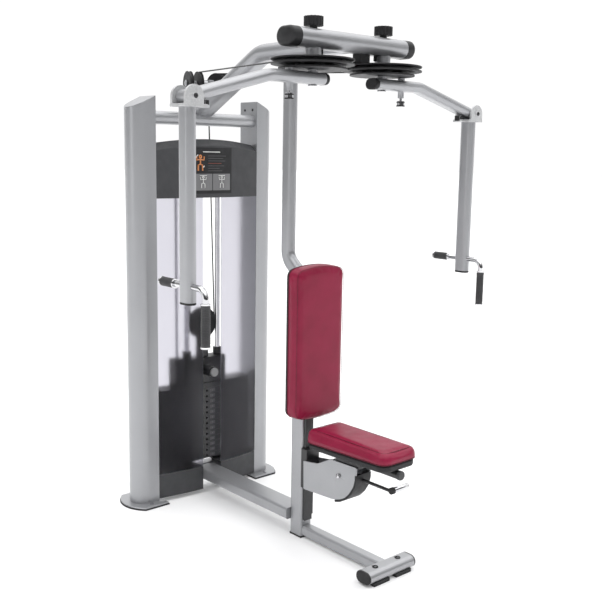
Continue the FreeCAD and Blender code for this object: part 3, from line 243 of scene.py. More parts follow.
def plain_floor():
    paint = Shader("pale_floor", 0.6, Specular_IOR_Level=0.12)
    paint.colour((0.84, 0.84, 0.845), (0.86, 0.86, 0.865), 0.6)
    paint.shader.inputs["Emission Color"].default_value = (1, 1, 1, 1)
    paint.shader.inputs["Emission Strength"].default_value = 0.08
    return paint.material


def silver_paint():
    """Metallic powder coat: fine flake sparkle, slight orange peel and faint handling marks."""
    paint = Shader("silver_paint", 0.34, 0.58, Coat_Weight=0.30, Coat_Roughness=0.18)
    flakes = paint.ramp(paint.cells(2400.0), (0.33, 0.335, 0.35), (0.41, 0.415, 0.43), 0.1, 0.75)
    broad = paint.ramp(paint.noise(5.0), (0.35, 0.355, 0.37), (0.39, 0.395, 0.41))
    paint.link(paint.mix(paint.noise(90.0), flakes, broad), paint.shader.inputs["Base Color"])
    paint.rough(0.32, 0.40, 14.0)
    peel = paint.bump(paint.noise(260.0, 2.0), 0.05, 0.0003)
    paint.bump(paint.cells(1800.0), 0.03, 0.0001, peel)
    return paint.material


def cast_silver():
    cast = Shader("cast_silver", 0.5, 0.55, Coat_Weight=0.15, Coat_Roughness=0.4)
    cast.colour((0.50, 0.505, 0.515), (0.62, 0.625, 0.63), 160.0)
    cast.rough(0.42, 0.6, 60.0)
    cast.bump(cast.noise(420.0, 4.0), 0.35, 0.0005)
    return cast.material


def moulded(name, dark, light, roughness, grain, depth):
    """Moulded plastic or rubber: fine spark-eroded grain and slow colour drift."""
    plastic = Shader(name, roughness, 0.0, Specular_IOR_Level=0.35)
    plastic.colour(dark, light, 22.0)
    plastic.rough(max(0.05, roughness - 0.07), roughness + 0.07, 45.0)
    fine = plastic.bump(plastic.noise(grain, 3.0), depth, 0.0003)
    plastic.bump(plastic.cells(grain * 0.6), depth * 0.7, 0.0003, fine)
    return plastic.material


def black_enamel():
    enamel = Shader("black_enamel", 0.38, 0.0, Coat_Weight=0.25, Coat_Roughness=0.3)
    enamel.colour((0.010, 0.010, 0.012), (0.018, 0.018, 0.020), 30.0)
    enamel.rough(0.30, 0.50, 20.0)
    enamel.bump(enamel.noise(300.0, 3.0), 0.12, 0.0004)
    return enamel.material


def chrome():
    plated = Shader("chrome", 0.09, 1.0)
    plated.colour((0.62, 0.62, 0.64), (0.70, 0.70, 0.71), 12.0)
    plated.rough(0.05, 0.14, 60.0)
    plated.bump(plated.noise(35.0, 2.0), 0.03, 0.0004)
    return plated.material


def burgundy_vinyl(name, shade):
    """Upholstery vinyl: pebbled leather grain, soft sheen and slight shade variation."""
    vinyl = Shader(name, 0.40, 0.0, Specular_IOR_Level=0.30)
    # A shade below 1 darkens the whole vinyl; the seam copy at 0.45 is painted shade, not another dye.
    dark = (0.215 * shade, 0.007 * shade, 0.034 * shade)
    light = (0.270 * shade, 0.010 * shade, 0.046 * shade)
    vinyl.colour(dark, light, 9.0)
    vinyl.rough(0.34, 0.46, 30.0)
    pebble = vinyl.bump(vinyl.cells(520.0, "SMOOTH_F1"), 0.14, 0.0004)
    vinyl.bump(vinyl.noise(130.0, 4.0), 0.05, 0.0004, pebble)
    return vinyl.material


def frosted_panel():
    """Smoked translucent sheet: light passes blurred and takes a faint violet grey."""
    sheet = Shader("frosted_panel", 0.34, 0.0, Transmission_Weight=1.0, IOR=1.22)
    sheet.colour((0.545, 0.538, 0.585), (0.565, 0.558, 0.605), 3.0)
    sheet.rough(0.33, 0.36, 6.0)
    sheet.bump(sheet.noise(900.0, 2.0), 0.02, 0.0001)
    return sheet.material


def printed(name, colour):
    ink = Shader(name, 0.35, 0.0, Coat_Weight=0.4, Coat_Roughness=0.15)
    ink.colour(tuple(channel * 0.93 for channel in colour), colour, 40.0)
    ink.rough(0.28, 0.42, 30.0)
    return ink.material


MATERIALS = {}


# Moulded materials: dark and light colour, roughness, grain scale and grain depth.
MOULDED = {
    "charcoal_plastic": ((0.050, 0.051, 0.055), (0.062, 0.063, 0.067), 0.50, 900.0, 0.22),
    "black_plastic": ((0.013, 0.013, 0.014), (0.022, 0.022, 0.024), 0.50, 700.0, 0.15),
    "black_rubber": ((0.016, 0.016, 0.017), (0.028, 0.028, 0.029), 0.66, 500.0, 0.30),
    "grip_rubber": ((0.050, 0.050, 0.053), (0.068, 0.068, 0.071), 0.50, 500.0, 0.30),
    "cable_coat": ((0.012, 0.012, 0.013), (0.020, 0.020, 0.021), 0.30, 300.0, 0.10),
}
PRINTED = {
    "label_grey": (0.17, 0.17, 0.175), "label_white": (0.82, 0.82, 0.80), "label_dim": (0.075, 0.075, 0.078),
    "label_red": (0.22, 0.05, 0.03), "label_orange": (0.60, 0.22, 0.07),
}


def make_materials():
    MATERIALS.update({
        "silver_paint": silver_paint(), "cast_silver": cast_silver(), "black_paint": black_enamel(),
        "polished_steel": chrome(), "burgundy_vinyl": burgundy_vinyl("burgundy_vinyl", 1.0),
        # The seam vinyl is the same vinyl at 0.45 brightness: painted shade for the dark lines of the welts
        # and seams.
        "vinyl_seam_painted_shade": burgundy_vinyl("vinyl_seam_painted_shade", 0.45), "frosted_panel": frosted_panel(),
    })
    for name, look in MOULDED.items():
        MATERIALS[name] = moulded(name, *look)
    for name, colour in PRINTED.items():
        MATERIALS[name] = printed(name, colour)


# ---------------------------------------------------------------- mesh helpers

def add_object(name, mesh, material, body):
    obj = bpy.data.objects.new(name, mesh)
    bpy.context.scene.collection.objects.link(obj)
    mesh.materials.clear()
    mesh.materials.append(MATERIALS[material])
    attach(obj, body)
    return obj


def smooth(mesh, angle=40):
    """Smooth shading with sharp edges where faces meet at more than the angle."""
    for face in mesh.polygons:
        face.use_smooth = True
    mesh.set_sharp_from_angle(angle=math.radians(angle))


def bevel(obj, width, segments=2, angle=35):
    modifier = obj.modifiers.new("bevel", "BEVEL")
    modifier.width = width
    modifier.segments = segments
    modifier.limit_method = "ANGLE"
    modifier.angle_limit = math.radians(angle)
    modifier.harden_normals = False
    return obj


def finish_mesh(name, bm, material, body, angle=40):
    mesh = bpy.data.meshes.new(name)
    bmesh.ops.recalc_face_normals(bm, faces=bm.faces)
    bm.to_mesh(mesh)
    bm.free()
    smooth(mesh, angle)
    return add_object(name, mesh, material, body)


def refined(node, width, material=None):
    """A copy of a CAD node with joined triangles and softened edges, which stands for the node."""
    slot = SLOT_OF[node]
    mesh = NODES[node].data.copy()
    bm = bmesh.new()
    bm.from_mesh(mesh)
    bmesh.ops.remove_doubles(bm, verts=bm.verts, dist=1e-6)
    bmesh.ops.dissolve_limit(bm, angle_limit=math.radians(0.6), verts=bm.verts, edges=bm.edges)
    bm.to_mesh(mesh)
    bm.free()
    mesh.name = node + "_refined"
    smooth(mesh, 40)
    obj = add_object(node + "_refined", mesh, material or slot, BODY_OF[node])
    if width > 0:
        bevel(obj, width)
        obj.modifiers["bevel"].use_clamp_overlap = True
    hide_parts(node)
    return obj


def cad_finish(node):
    """A CAD node that is shown as it is, with a better material."""
    mesh = NODES[node].data
    mesh.materials.clear()
    mesh.materials.append(MATERIALS[SLOT_OF[node]])


def lathe(profile, segments=48):
    """A closed ring from (radius, height) points turned about Z."""
    bm = bmesh.new()
    rings = []
    for radius, height in profile:
        if radius < 1e-7:
            rings.append([bm.verts.new((0, 0, height))])
            continue
        rings.append([bm.verts.new((radius * math.cos(turn), radius * math.sin(turn), height))
                      for turn in (2 * math.pi * i / segments for i in range(segments))])
    for lower, upper in zip(rings, rings[1:]):
        for i in range(segments):
            j = (i + 1) % segments
            corners = [lower[i % len(lower)], lower[j % len(lower)],
                       upper[j % len(upper)], upper[i % len(upper)]]
            unique = list(dict.fromkeys(corners))
            if len(unique) > 2:
                bm.faces.new(unique)
    return bm


def aim(bm, at, direction):
    """Turns a mesh made about +Z to point along a direction, then moves it."""
    turn = Vector((0, 0, 1)).rotation_difference(Vector(direction)).to_matrix().to_4x4()
    bmesh.ops.transform(bm, matrix=Matrix.Translation(at) @ turn, verts=bm.verts)
    return bm


def join(target, other):
    """Adds one bmesh to another."""
    mesh = bpy.data.meshes.new("joining")
    other.to_mesh(mesh)
    other.free()
    target.from_mesh(mesh)
    bpy.data.meshes.remove(mesh)
    return target


def button_bolt(radius, height):
    """A button-head bolt with a hex socket, its underside at the origin."""
    socket = radius * 0.45
    profile = [(0, 0), (radius, 0), (radius, height * 0.25), (radius * 0.93, height * 0.55),
               (radius * 0.72, height * 0.88), (socket, height), (socket, height * 0.35), (0, height * 0.35)]
    return lathe(profile, 30)


def hex_bolt(radius, height):
    bm = bmesh.new()
    bmesh.ops.create_cone(bm, cap_ends=True, segments=6, radius1=radius, radius2=radius, depth=height,
                          matrix=Matrix.Translation((0, 0, height / 2)))
    return bm


def block(low, high):
    bm = bmesh.new()
    size = Vector(high) - Vector(low)
    middle = (Vector(high) + Vector(low)) / 2
    bmesh.ops.create_cube(bm, size=1.0, matrix=Matrix.Translation(middle) @ Matrix.Diagonal((*size, 1)))
    return bm


def tube_mesh(points, radius, sides=20, closed=False):
    """A round tube through points, swept with a steady frame."""
    bm = bmesh.new()
    rings = []
    normal = None
    count = len(points)
    for i, point in enumerate(points):
        before = points[(i - 1) % count] if closed or i > 0 else point
        after = points[(i + 1) % count] if closed or i < count - 1 else point
        tangent = (after - before).normalized()
        if normal is None:
            helper = Vector((0, 0, 1)) if abs(tangent.z) < 0.9 else Vector((1, 0, 0))
            normal = tangent.cross(helper).normalized()
        normal = (normal - tangent * normal.dot(tangent)).normalized()
        across = tangent.cross(normal)
        rings.append([bm.verts.new(point + (normal * math.cos(turn) + across * math.sin(turn)) * radius)
                      for turn in (2 * math.pi * k / sides for k in range(sides))])
    pairs = list(zip(rings, rings[1:])) + ([(rings[-1], rings[0])] if closed else [])
    for first, second in pairs:
        for k in range(sides):
            bm.faces.new((first[k], first[(k + 1) % sides], second[(k + 1) % sides], second[k]))
    if not closed:
        bm.faces.new(list(reversed(rings[0])))
        bm.faces.new(rings[-1])
    return bm


# ---------------------------------------------------------------- frame and tower

FRAME_NODES = {
    "uprights": 0.0025, "foot_plates": 0.0015, "tower_cross_tube": 0.0008, "tower_cross_members": 0.002,
    "base_beams": 0.0008, "front_foot": 0.0008, "crossbar": 0.0008, "lower_column": 0.0008, "boom": 0.0006,
    "upper_column": 0.0006, "guide_rods": 0.0008, "stack_bumpers": 0.002, "base_shroud": 0.0018,
    "pivot_shafts": 0.0012, "pivot_housings": 0.001, "idler_bracket": 0.0012, "rubber_pads": 0.0015,
    "seat_rail": 0.001, "backrest_board": 0.003, "cam_stops": 0.002, "weight_plates": 0.0018,
    "head_plate": 0.002, "floating_pulley": 0.001, "increment_weight": 0.003, "seat_bracket": 0.0015,
    "seat_slide": 0.0015, "seat_base": 0.008, "tower_panels": 0.0008, "top_shroud": 0.002,
    "seat_lever": 0.0008,
}
SIDE_NODES = {
    "cam": 0.0012, "idler_pulleys": 0.001, "arm": 0.0008, "arm_plug": 0.004, "index_pin": 0.0015,
    "clevis": 0.0025, "forearm": 0.0006, "forearm_plug": 0.002, "handle_bar": 0.0006,
}


def dress_frame():
    for node, width in FRAME_NODES.items():
        refined(node, width)
    for side in SIDES:
        for label, width in SIDE_NODES.items():
            refined(f"{side}_{label}", width)
    for node in ("cam_cables", "cable_loop"):
        cad_finish(node)
    refined("selector_pin", 0.002, material="label_grey")
    drops = refined("cable_drops", 0)
    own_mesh(drops)


def bolts(name, places, radius, height, material, body, make=button_bolt):
    """Bolt heads at (point, direction) places, as one piece."""
    whole = bmesh.new()
    for at, direction in places:
        join(whole, aim(make(radius, height), Vector(at), direction))
    return finish_mesh(name, whole, material, body, 30)


def dress_tower():
    caps = refined("upright_caps", 0.0012)
    caps.modifiers["bevel"].segments = 3
    inner = 0.277
    plate_low, plate_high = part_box("foot_plates")
    places = [((sign * x, y, plate_high.z), (0, 0, 1)) for sign in (-1, 1)
              for x, y in ((0.33, plate_low.y + 0.022), (0.33, plate_high.y - 0.022))]
    bolts("foot_plate_bolts", places, 0.009, 0.006, "polished_steel", "root", hex_bolt)
    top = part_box("uprights")[1].z - 0.035
    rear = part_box("uprights")[0].y
    places = [((sign * (inner - 0.0002), rear + step, top), (-sign, 0, 0)) for sign in (-1, 1)
              for step in (0.034, 0.092)]
    bolts("upright_bolts", places, 0.0062, 0.003, "black_paint", "root")
    rings = bmesh.new()
    beam_low, beam_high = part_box("front_foot")
    for sign in (-1, 1):
        join(rings, aim(collar(0.006, 0.0115, 0.003), Vector((sign * 0.062, (beam_low.y + beam_high.y) / 2,
                                                              beam_high.z - 0.0006)), (0, 0, 1)))
    finish_mesh("foot_hole_rings", rings, "black_rubber", "root", 35)
    dress_placard()


def placard_point(x, z, lift):
    """A point on the placard's curved face."""
    low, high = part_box("placard")
    half = high.x
    sagitta = high.y - low.y - 0.002
    depth = sagitta * (x / half) ** 2
    return Vector((x, low.y + depth - lift, z))


def placard_patch(left, low, right, high, lift=0.0004, thickness=0.0012, steps=8):
    """A thin printed patch that follows the placard's curve, as a closed sheet."""
    bm = bmesh.new()
    columns = []
    for i in range(steps + 1):
        x = left + (right - left) * i / steps
        columns.append([bm.verts.new(placard_point(x, z, depth)) for z, depth in
                        ((low, lift), (high, lift), (high, lift - thickness), (low, lift - thickness))])
    for first, second in zip(columns, columns[1:]):
        for k in range(4):
            bm.faces.new((first[k], second[k], second[(k + 1) % 4], first[(k + 1) % 4]))
    bm.faces.new(columns[0])
    bm.faces.new(list(reversed(columns[-1])))
    return bm


def stroke(points, width, lift=0.0008):
    """A raised line of print on the placard through (x, z) points."""
    path = [placard_point(x, z, lift) for x, z in points]
    return tube_mesh(path, width, 8)


def dress_placard():
    """Generic print: a header line, rows of text-like lines, a figure and two pictogram boxes."""
    low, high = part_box("placard")
    refined("placard", 0.0006)
    left, right, bottom, top = low.x + 0.008, high.x - 0.008, low.z + 0.010, high.z - 0.008
    middle, split = (left + right) / 2, bottom + 0.078
    body, slot = "root", "charcoal_plastic"
    boxes = bmesh.new()
    for start, end in ((left + 0.002, middle - 0.002), (middle + 0.002, right - 0.002)):
        join(boxes, placard_patch(start, bottom + 0.004, end, split))
    finish_mesh("placard_boxes", boxes, "label_grey", body)
    header = placard_patch(left + 0.050, top - 0.013, right - 0.060, top - 0.0095)
    finish_mesh("placard_header", header, "label_white", body)
    rows = (0.95, 0.8, 0.9, 0.7, 0.85, 0.6, 0.75)
    for kind, chosen in (("label_dim", (0, 1, 2, 4, 5, 6)), ("label_red", (3,))):
        lines = bmesh.new()
        for i in chosen:
            z = top - 0.030 - i * 0.011
            join(lines, placard_patch(left + 0.078, z, left + 0.078 + 0.105 * rows[i], z + 0.0024, 0.0003))
        finish_mesh("placard_" + kind, lines, kind, body)
    figure = bmesh.new()
    for path in pictogram(left + 0.036, split + 0.046, 0.036):
        join(figure, stroke(path, 0.0034))
    finish_mesh("placard_figure", figure, "label_orange", body)
    accents = bmesh.new()
    for x, z, reach in ((left + 0.018, split + 0.078, 0.012), (left + 0.052, split + 0.030, 0.010)):
        ends = [(x - reach / 2, z - reach / 2), (x + reach / 2, z + reach / 2)]
        join(accents, stroke(ends, 0.0022, 0.0012))
    finish_mesh("placard_accents", accents, "label_white", body)
    guides = bmesh.new()
    for x in ((left + middle) / 2, (middle + right) / 2):
        for path in pictogram(x, bottom + 0.040, 0.028):
            join(guides, stroke(path, 0.0014, 0.0014))
        join(guides, stroke([(x - 0.018, bottom + 0.070), (x + 0.018, bottom + 0.070)], 0.0012, 0.0014))
    finish_mesh("placard_guides", guides, "label_white", body)


def pictogram(x, z, size):
    """Strokes of a plain seated stick figure with raised forearms."""
    head = [(x + 0.16 * size * math.cos(turn), z + size * 0.82 + 0.16 * size * math.sin(turn))
            for turn in (math.tau * i / 12 for i in range(13))]
    body = [(x, z + size * 0.6), (x, z - size * 0.1)]
    arms = [(x - size * 0.55, z + size * 0.85), (x - size * 0.5, z + size * 0.42), (x, z + size * 0.48),
            (x + size * 0.5, z + size * 0.42), (x + size * 0.55, z + size * 0.85)]
    legs = [(x - size * 0.32, z - size * 0.9), (x - size * 0.3, z - size * 0.2), (x, z - size * 0.1),
            (x + size * 0.3, z - size * 0.2), (x + size * 0.32, z - size * 0.9)]
    return [head, body, arms, legs]


# ---------------------------------------------------------------- weight stack

def dress_stack():
    """Plain numbers on grey labels right of the pin holes, and small squares left of them."""
    low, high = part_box("weight_plates")
    count = 13
    pitch = (high.z - low.z + 0.0005) / count
    labels, digits, squares = bmesh.new(), bmesh.new(), bmesh.new()
    for i in range(count):
        z = low.z + pitch * (i + 0.5)
        join(labels, block((0.018, low.y - 0.0007, z - 0.0075), (0.046, low.y + 0.001, z + 0.0075)))
        join(digits, number_mesh(count - i, (0.032, low.y - 0.0009, z - 0.0042), 0.011))
        join(squares, block((-0.031, low.y - 0.0006, z - 0.005), (-0.021, low.y + 0.001, z + 0.005)))
    for name, mesh, material in (("stack_labels", labels, "label_dim"),
                                 ("stack_numbers", digits, "label_grey"),
                                 ("stack_marks", squares, "label_dim")):
        finish_mesh(name, mesh, material, "root")


def number_mesh(value, at, size):
    """A plain number as thin solid print that faces -Y."""
    curve = bpy.data.curves.new("number", "FONT")
    curve.body = str(value)
    curve.size = size
    curve.align_x = "CENTER"
    curve.extrude = 0.0004
    holder = bpy.data.objects.new("number", curve)
    bpy.context.scene.collection.objects.link(holder)
    mesh = bpy.data.meshes.new_from_object(holder.evaluated_get(bpy.context.evaluated_depsgraph_get()))
    bm = bmesh.new()
    bm.from_mesh(mesh)
    bmesh.ops.remove_doubles(bm, verts=bm.verts, dist=1e-6)
    turn = Matrix.Rotation(math.radians(90), 4, "X")
    bmesh.ops.transform(bm, matrix=Matrix.Translation(at) @ turn, verts=bm.verts)
    bpy.data.objects.remove(holder)
    bpy.data.curves.remove(curve)
    bpy.data.meshes.remove(mesh)
    return bm


# ---------------------------------------------------------------- crossbar, pivots and arms

def oval_points(width, height, segments=64):
    """Points of a flat oval whose ends are half round."""
    radius, flat = height / 2, (width - height) / 2
    points = []
    for i in range(segments):
        turn = 2 * math.pi * (i + 0.5) / segments
        across = math.copysign(flat, math.cos(turn)) + radius * math.cos(turn)
        points.append((across, radius * math.sin(turn)))
    return points


def domed_plug(section, length, edge, dome, steps=6):
    """A plug about +Z with a section outline: a straight skirt, a rounded edge and a low domed face."""
    bm = bmesh.new()
    rings = []
    levels = [(1.0, 0.0), (1.0, length - edge)]
    for i in range(1, steps + 1):
        turn = math.pi / 2 * i / steps
        levels.append((1 - (1 - math.cos(turn)) * edge / 0.034, length - edge + edge * math.sin(turn)))
    last, top = levels[-1]
    for share in (0.7, 0.4, 0.15):
        levels.append((last * share, top + dome * (1 - share ** 2)))
    for scale, height in levels:
        rings.append([bm.verts.new((x * scale, y * scale, height)) for x, y in section])
    count = len(section)
    for lower, upper in zip(rings, rings[1:]):
        for i in range(count):
            bm.faces.new((lower[i], lower[(i + 1) % count], upper[(i + 1) % count], upper[i]))
    bm.faces.new(list(reversed(rings[0])))
    bm.faces.new(rings[-1])
    return bm


def end_caps():
    low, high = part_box("crossbar")
    cap_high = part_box("tube_end_caps")[1]
    middle = (low + high) / 2
    width, height = high.y - low.y, high.z - low.z
    whole = bmesh.new()
    for sign in (-1, 1):
        plug = domed_plug(oval_points(width + 0.0005, height + 0.0005),
                          cap_high.x - high.x - 0.0045, 0.012, 0.004)
        turn = Matrix(((0, 0, sign, 0), (1, 0, 0, 0), (0, sign, 0, 0), (0, 0, 0, 1)))
        bmesh.ops.transform(plug, matrix=Matrix.Translation((sign * high.x, middle.y, middle.z)) @ turn,
                            verts=plug.verts)
        join(whole, plug)
    foot_low, foot_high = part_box("front_foot")
    foot_middle = (foot_low + foot_high) / 2
    for sign in (-1, 1):
        plug = domed_plug(oval_points(foot_high.y - foot_low.y, foot_high.z - foot_low.z),
                          0.0085, 0.004, 0.0012)
        turn = Matrix(((0, 0, sign, 0), (1, 0, 0, 0), (0, sign, 0, 0), (0, 0, 0, 1)))
        place = Matrix.Translation((sign * foot_high.x, foot_middle.y, foot_middle.z))
        bmesh.ops.transform(plug, matrix=place @ turn, verts=plug.verts)
        join(whole, plug)
    caps = finish_mesh("end_caps", whole, "black_plastic", "root", 50)
    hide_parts("tube_end_caps")


def dress_knobs():
    low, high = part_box("pivot_knobs")
    knobs = refined("pivot_knobs", 0.0012)
    knobs.modifiers["bevel"].segments = 3
    whole = bmesh.new()
    for sign in (-1, 1):
        ring = lathe([(0, 0), (0.022, 0), (0.024, 0.0006), (0.0235, 0.0016), (0, 0.0022)], 40)
        join(whole, aim(ring, Vector((sign * 0.18, (low.y + high.y) / 2, high.z - 0.0012)), (0, 0, 1)))
    finish_mesh("knob_tops", whole, "black_plastic", "root", 30)


def ridged_sleeve(length, bore, radius, ridge, ridges):
    """A rubber sleeve about +Z with rings along it and rounded ends."""
    profile = [(bore, 0), (radius * 0.94, 0), (radius, length * 0.02)]
    start, span = length * 0.06, length * 0.88
    for i in range(ridges):
        base = start + span * i / ridges
        pitch = span / ridges
        profile += [(radius - ridge, base), (radius - ridge, base + pitch * 0.28),
                    (radius, base + pitch * 0.42), (radius, base + pitch * 0.86)]
    profile += [(radius, length * 0.98), (radius * 0.94, length), (bore, length)]
    return lathe(profile, 40)


def collar(bore, radius, length):
    edge = min(0.0012, length * 0.2)
    return lathe([(bore, 0), (radius - edge, 0), (radius, edge), (radius, length - edge),
                  (radius - edge, length), (bore, length)], 40)


GRIP_LENGTH, STUB_LENGTH, GRIP_RIDGE, COLLAR_LENGTH = 0.138, 0.074, 0.0014, 0.006


def dress_arms():
    for side, sign in SIDES.items():
        forearm = f"{side}_forearm"
        low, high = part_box(f"{side}_handle_grips")
        bar_low, bar_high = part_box(f"{side}_handle_bar")
        x = (low.x + high.x) / 2
        radius, bore = (high.x - low.x) / 2, (bar_high.x - bar_low.x) / 2
        front = low.y + radius
        grip_bottom, handle_z = low.z, high.z - radius
        sleeve = ridged_sleeve(GRIP_LENGTH, bore, radius, GRIP_RIDGE, 22)
        sleeve = aim(sleeve, Vector((x, front, grip_bottom)), (0, 0, 1))
        stub = ridged_sleeve(STUB_LENGTH, bore, radius, GRIP_RIDGE, 12)
        stub = aim(stub, Vector((x, high.y - STUB_LENGTH, handle_z)), (0, 1, 0))
        grips = finish_mesh(f"{side}_grips", join(sleeve, stub), "grip_rubber", forearm, 35)
        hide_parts(f"{side}_handle_grips")
        rings = bmesh.new()
        for at, direction in (((x, front, grip_bottom - COLLAR_LENGTH), (0, 0, 1)),
                              ((x, front, grip_bottom + GRIP_LENGTH), (0, 0, 1)),
                              ((x, high.y, handle_z), (0, 1, 0)),
                              ((x, high.y - STUB_LENGTH - COLLAR_LENGTH, handle_z), (0, 1, 0))):
            join(rings, aim(collar(bore - 0.0004, radius + 0.001, COLLAR_LENGTH), Vector(at), direction))
        finish_mesh(f"{side}_grip_collars", rings, "polished_steel", forearm, 35)
        dress_hinge(side, sign)
        dress_index_pin(side)


def dress_hinge(side, sign):
    low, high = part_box(f"{side}_clevis")
    hinge_x, hinge_z = sign * 0.722, 1.772
    places = [((hinge_x, low.y, hinge_z), (0, -1, 0)), ((hinge_x, high.y, hinge_z), (0, 1, 0))]
    bolts(f"{side}_hinge_bolts", places, 0.0085, 0.003, "black_paint", f"{side}_forearm")
    rest_x = sign * 0.653
    pad_low = Vector((rest_x - 0.0086, (low.y + high.y) / 2 - 0.0145, 1.7402))
    pad_high = Vector((rest_x + 0.0086, (low.y + high.y) / 2 + 0.0145, 1.7636))
    rest = finish_mesh(f"{side}_rest_pad", block(pad_low, pad_high), "black_rubber", f"{side}_forearm",
                       35)
    bevel(rest, 0.003, 3)


def dress_index_pin(side):
    low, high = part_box(f"{side}_index_pin")
    middle = (low + high) / 2
    rings = bmesh.new()
    for z, radius in ((low.z + 0.0005, 0.0163), (low.z + 0.0145, 0.0160)):
        join(rings, aim(collar(0.006, radius, 0.0055), Vector((middle.x, middle.y, z)), (0, 0, 1)))
    finish_mesh(f"{side}_index_rings", rings, "black_rubber", f"{side}_pin", 35)


# ---------------------------------------------------------------- cushions

def ring_mesh(rings, close=True):
    """A closed skin from rings of the same number of points."""
    bm = bmesh.new()
    loops = [[bm.verts.new(point) for point in ring] for ring in rings]
    count = len(loops[0])
    for first, second in zip(loops, loops[1:]):
        for i in range(count):
            bm.faces.new((first[i], first[(i + 1) % count], second[(i + 1) % count], second[i]))
    if close:
        bm.faces.new(list(reversed(loops[0])))
        bm.faces.new(loops[-1])
    return bm


def inflate(obj, pressure, cap, pinned, frames=CAM_FRAMES):
    """Swells a closed mesh as cloth with air in it; no point moves further than the cap."""
    remesh = obj.modifiers.new("remesh", "REMESH")
    remesh.mode = "VOXEL"
    remesh.voxel_size = 0.004
    apply_modifier(obj, "remesh")
    rest = [vert.co.copy() for vert in obj.data.vertices]
    group = obj.vertex_groups.new(name="held")
    for i, point in enumerate(rest):
        weight = pinned(point)
        if weight > 0:
            group.add([i], weight, "REPLACE")
    cloth = obj.modifiers.new("cloth", "CLOTH")
    settings = cloth.settings
    settings.use_pressure = True
    settings.uniform_pressure_force = pressure
    settings.vertex_group_mass = "held"
    settings.tension_stiffness = 40
    settings.compression_stiffness = 40
    settings.bending_stiffness = 2
    settings.effector_weights.gravity = 0
    cloth.point_cache.frame_start, cloth.point_cache.frame_end = 1, frames
    scene = bpy.context.scene
    for number in range(1, frames + 1):
        scene.frame_set(number)
    apply_modifier(obj, "cloth")
    scene.frame_set(1)
    for vert, start in zip(obj.data.vertices, rest):
        shift = vert.co - start
        if shift.length > cap:
            vert.co = start + shift.normalized() * cap
    relax = obj.modifiers.new("relax", "SMOOTH")
    relax.factor, relax.iterations = 0.5, 6
    apply_modifier(obj, "relax")
    subdivide = obj.modifiers.new("subdivide", "SUBSURF")
    subdivide.levels = subdivide.render_levels = 1
    apply_modifier(obj, "subdivide")
    for face in obj.data.polygons:
        face.use_smooth = True


def apply_modifier(obj, name):
    """Puts a modifier's result into the mesh."""
    bpy.context.view_layer.update()
    graph = bpy.context.evaluated_depsgraph_get()
    mesh = bpy.data.meshes.new_from_object(obj.evaluated_get(graph), preserve_all_data_layers=True,
                                           depsgraph=graph)
    obj.modifiers.remove(obj.modifiers[name])
    old = obj.data
    obj.data = mesh
    bpy.data.meshes.remove(old)


def rounded(points, segments=8):
    """A closed flat outline through (a, b, corner radius) points, with arcs at the corners."""
    result = []
    count = len(points)
    for i, (a, b, radius) in enumerate(points):
        here = Vector((a, b))
        before = (Vector(points[i - 1][:2]) - here).normalized()
        after = (Vector(points[(i + 1) % count][:2]) - here).normalized()
        half_angle = before.angle(after) / 2
        reach = radius / math.tan(half_angle)
        middle = here + (before + after).normalized() * (radius / math.sin(half_angle))
        start, end = here + before * reach - middle, here + after * reach - middle
        sweep = start.angle_signed(end) if radius > 0 else 0
        for k in range(segments + 1):
            turn = -sweep * k / segments
            spoke = Vector((start.x * math.cos(turn) - start.y * math.sin(turn),
                            start.x * math.sin(turn) + start.y * math.cos(turn)))
            result.append(middle + spoke if radius > 0 else here)
    return result


def inset_ring(outline, inset):
    """An outline moved inwards, point by point."""
    middle = sum(outline, Vector((0, 0))) / len(outline)
    result = []
    for i, point in enumerate(outline):
        along = outline[(i + 1) % len(outline)] - outline[i - 1]
        inward = Vector((along.y, -along.x)).normalized()
        if inward.dot(middle - point) < 0:
            inward = -inward
        result.append(point + inward * inset)
    return result


def back_outline(half, low, high):
    """The backrest from the front: straight sides, soft corners, and arched top and bottom edges."""
    rise, drop, knee = 0.014, 0.021, half * 0.72
    arch_steps = 12
    bottom = [(knee * (1 - 2 * k / arch_steps), 0) for k in range(arch_steps + 1)]
    bottom = [Vector((x, low + (rise - 0.008) * (x / knee) ** 2)) for x, _ in bottom]
    top = [Vector((-x, high - (drop - 0.012) * (x / knee) ** 2)) for x in
           (knee * (1 - 2 * k / arch_steps) for k in range(arch_steps + 1))]
    right = rounded([(knee, high - drop + 0.012, 0), (half, high - drop + 0.004, 0.034),
                     (half, low + rise + 0.006, 0.030), (knee, low + rise - 0.008, 0)], 6)
    left = [Vector((-point.x, point.y)) for point in reversed(right)]
    outline = []
    for point in [*right, *bottom, *left, *top]:
        if not outline or (point - outline[-1]).length > 1e-5:
            outline.append(point)
    if (outline[0] - outline[-1]).length < 1e-5:
        outline.pop()
    return outline


def make_backrest():
    low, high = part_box("backrest_cushion")
    outline = back_outline(high.x, low.z, high.z)
    rear, front = high.y - 0.0003, low.y
    levels = ((0.003, rear), (0.0008, rear - 0.006), (0.0005, front + 0.018), (0.0025, front + 0.0095),
              (0.0075, front + 0.0045), (0.014, front + 0.0030), (0.040, front + 0.0022),
              (0.080, front + 0.0018))
    rings = [[Vector((point.x, y, point.y)) for point in inset_ring(outline, inset)] for inset, y in levels]
    cushion = finish_mesh("backrest_pad", ring_mesh(rings), "burgundy_vinyl", "root")
    inflate(cushion, 2.5, 0.003, lambda p: 1.0 if p.y > rear - 0.012 else 0.0)
    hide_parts("backrest_cushion")
    # The welt and seam tubes take the darker seam vinyl, which is painted shade in the grooves.
    for name, inset, y, radius in (("backrest_welt", 0.0015, rear - 0.0035, 0.0018),
                                   ("backrest_seam", 0.0045, front + 0.0062, 0.0009)):
        path = [Vector((point.x, y, point.y)) for point in inset_ring(outline, inset)]
        finish_mesh(name, tube_mesh(path, radius, 8, closed=True), "vinyl_seam_painted_shade", "root", 60)


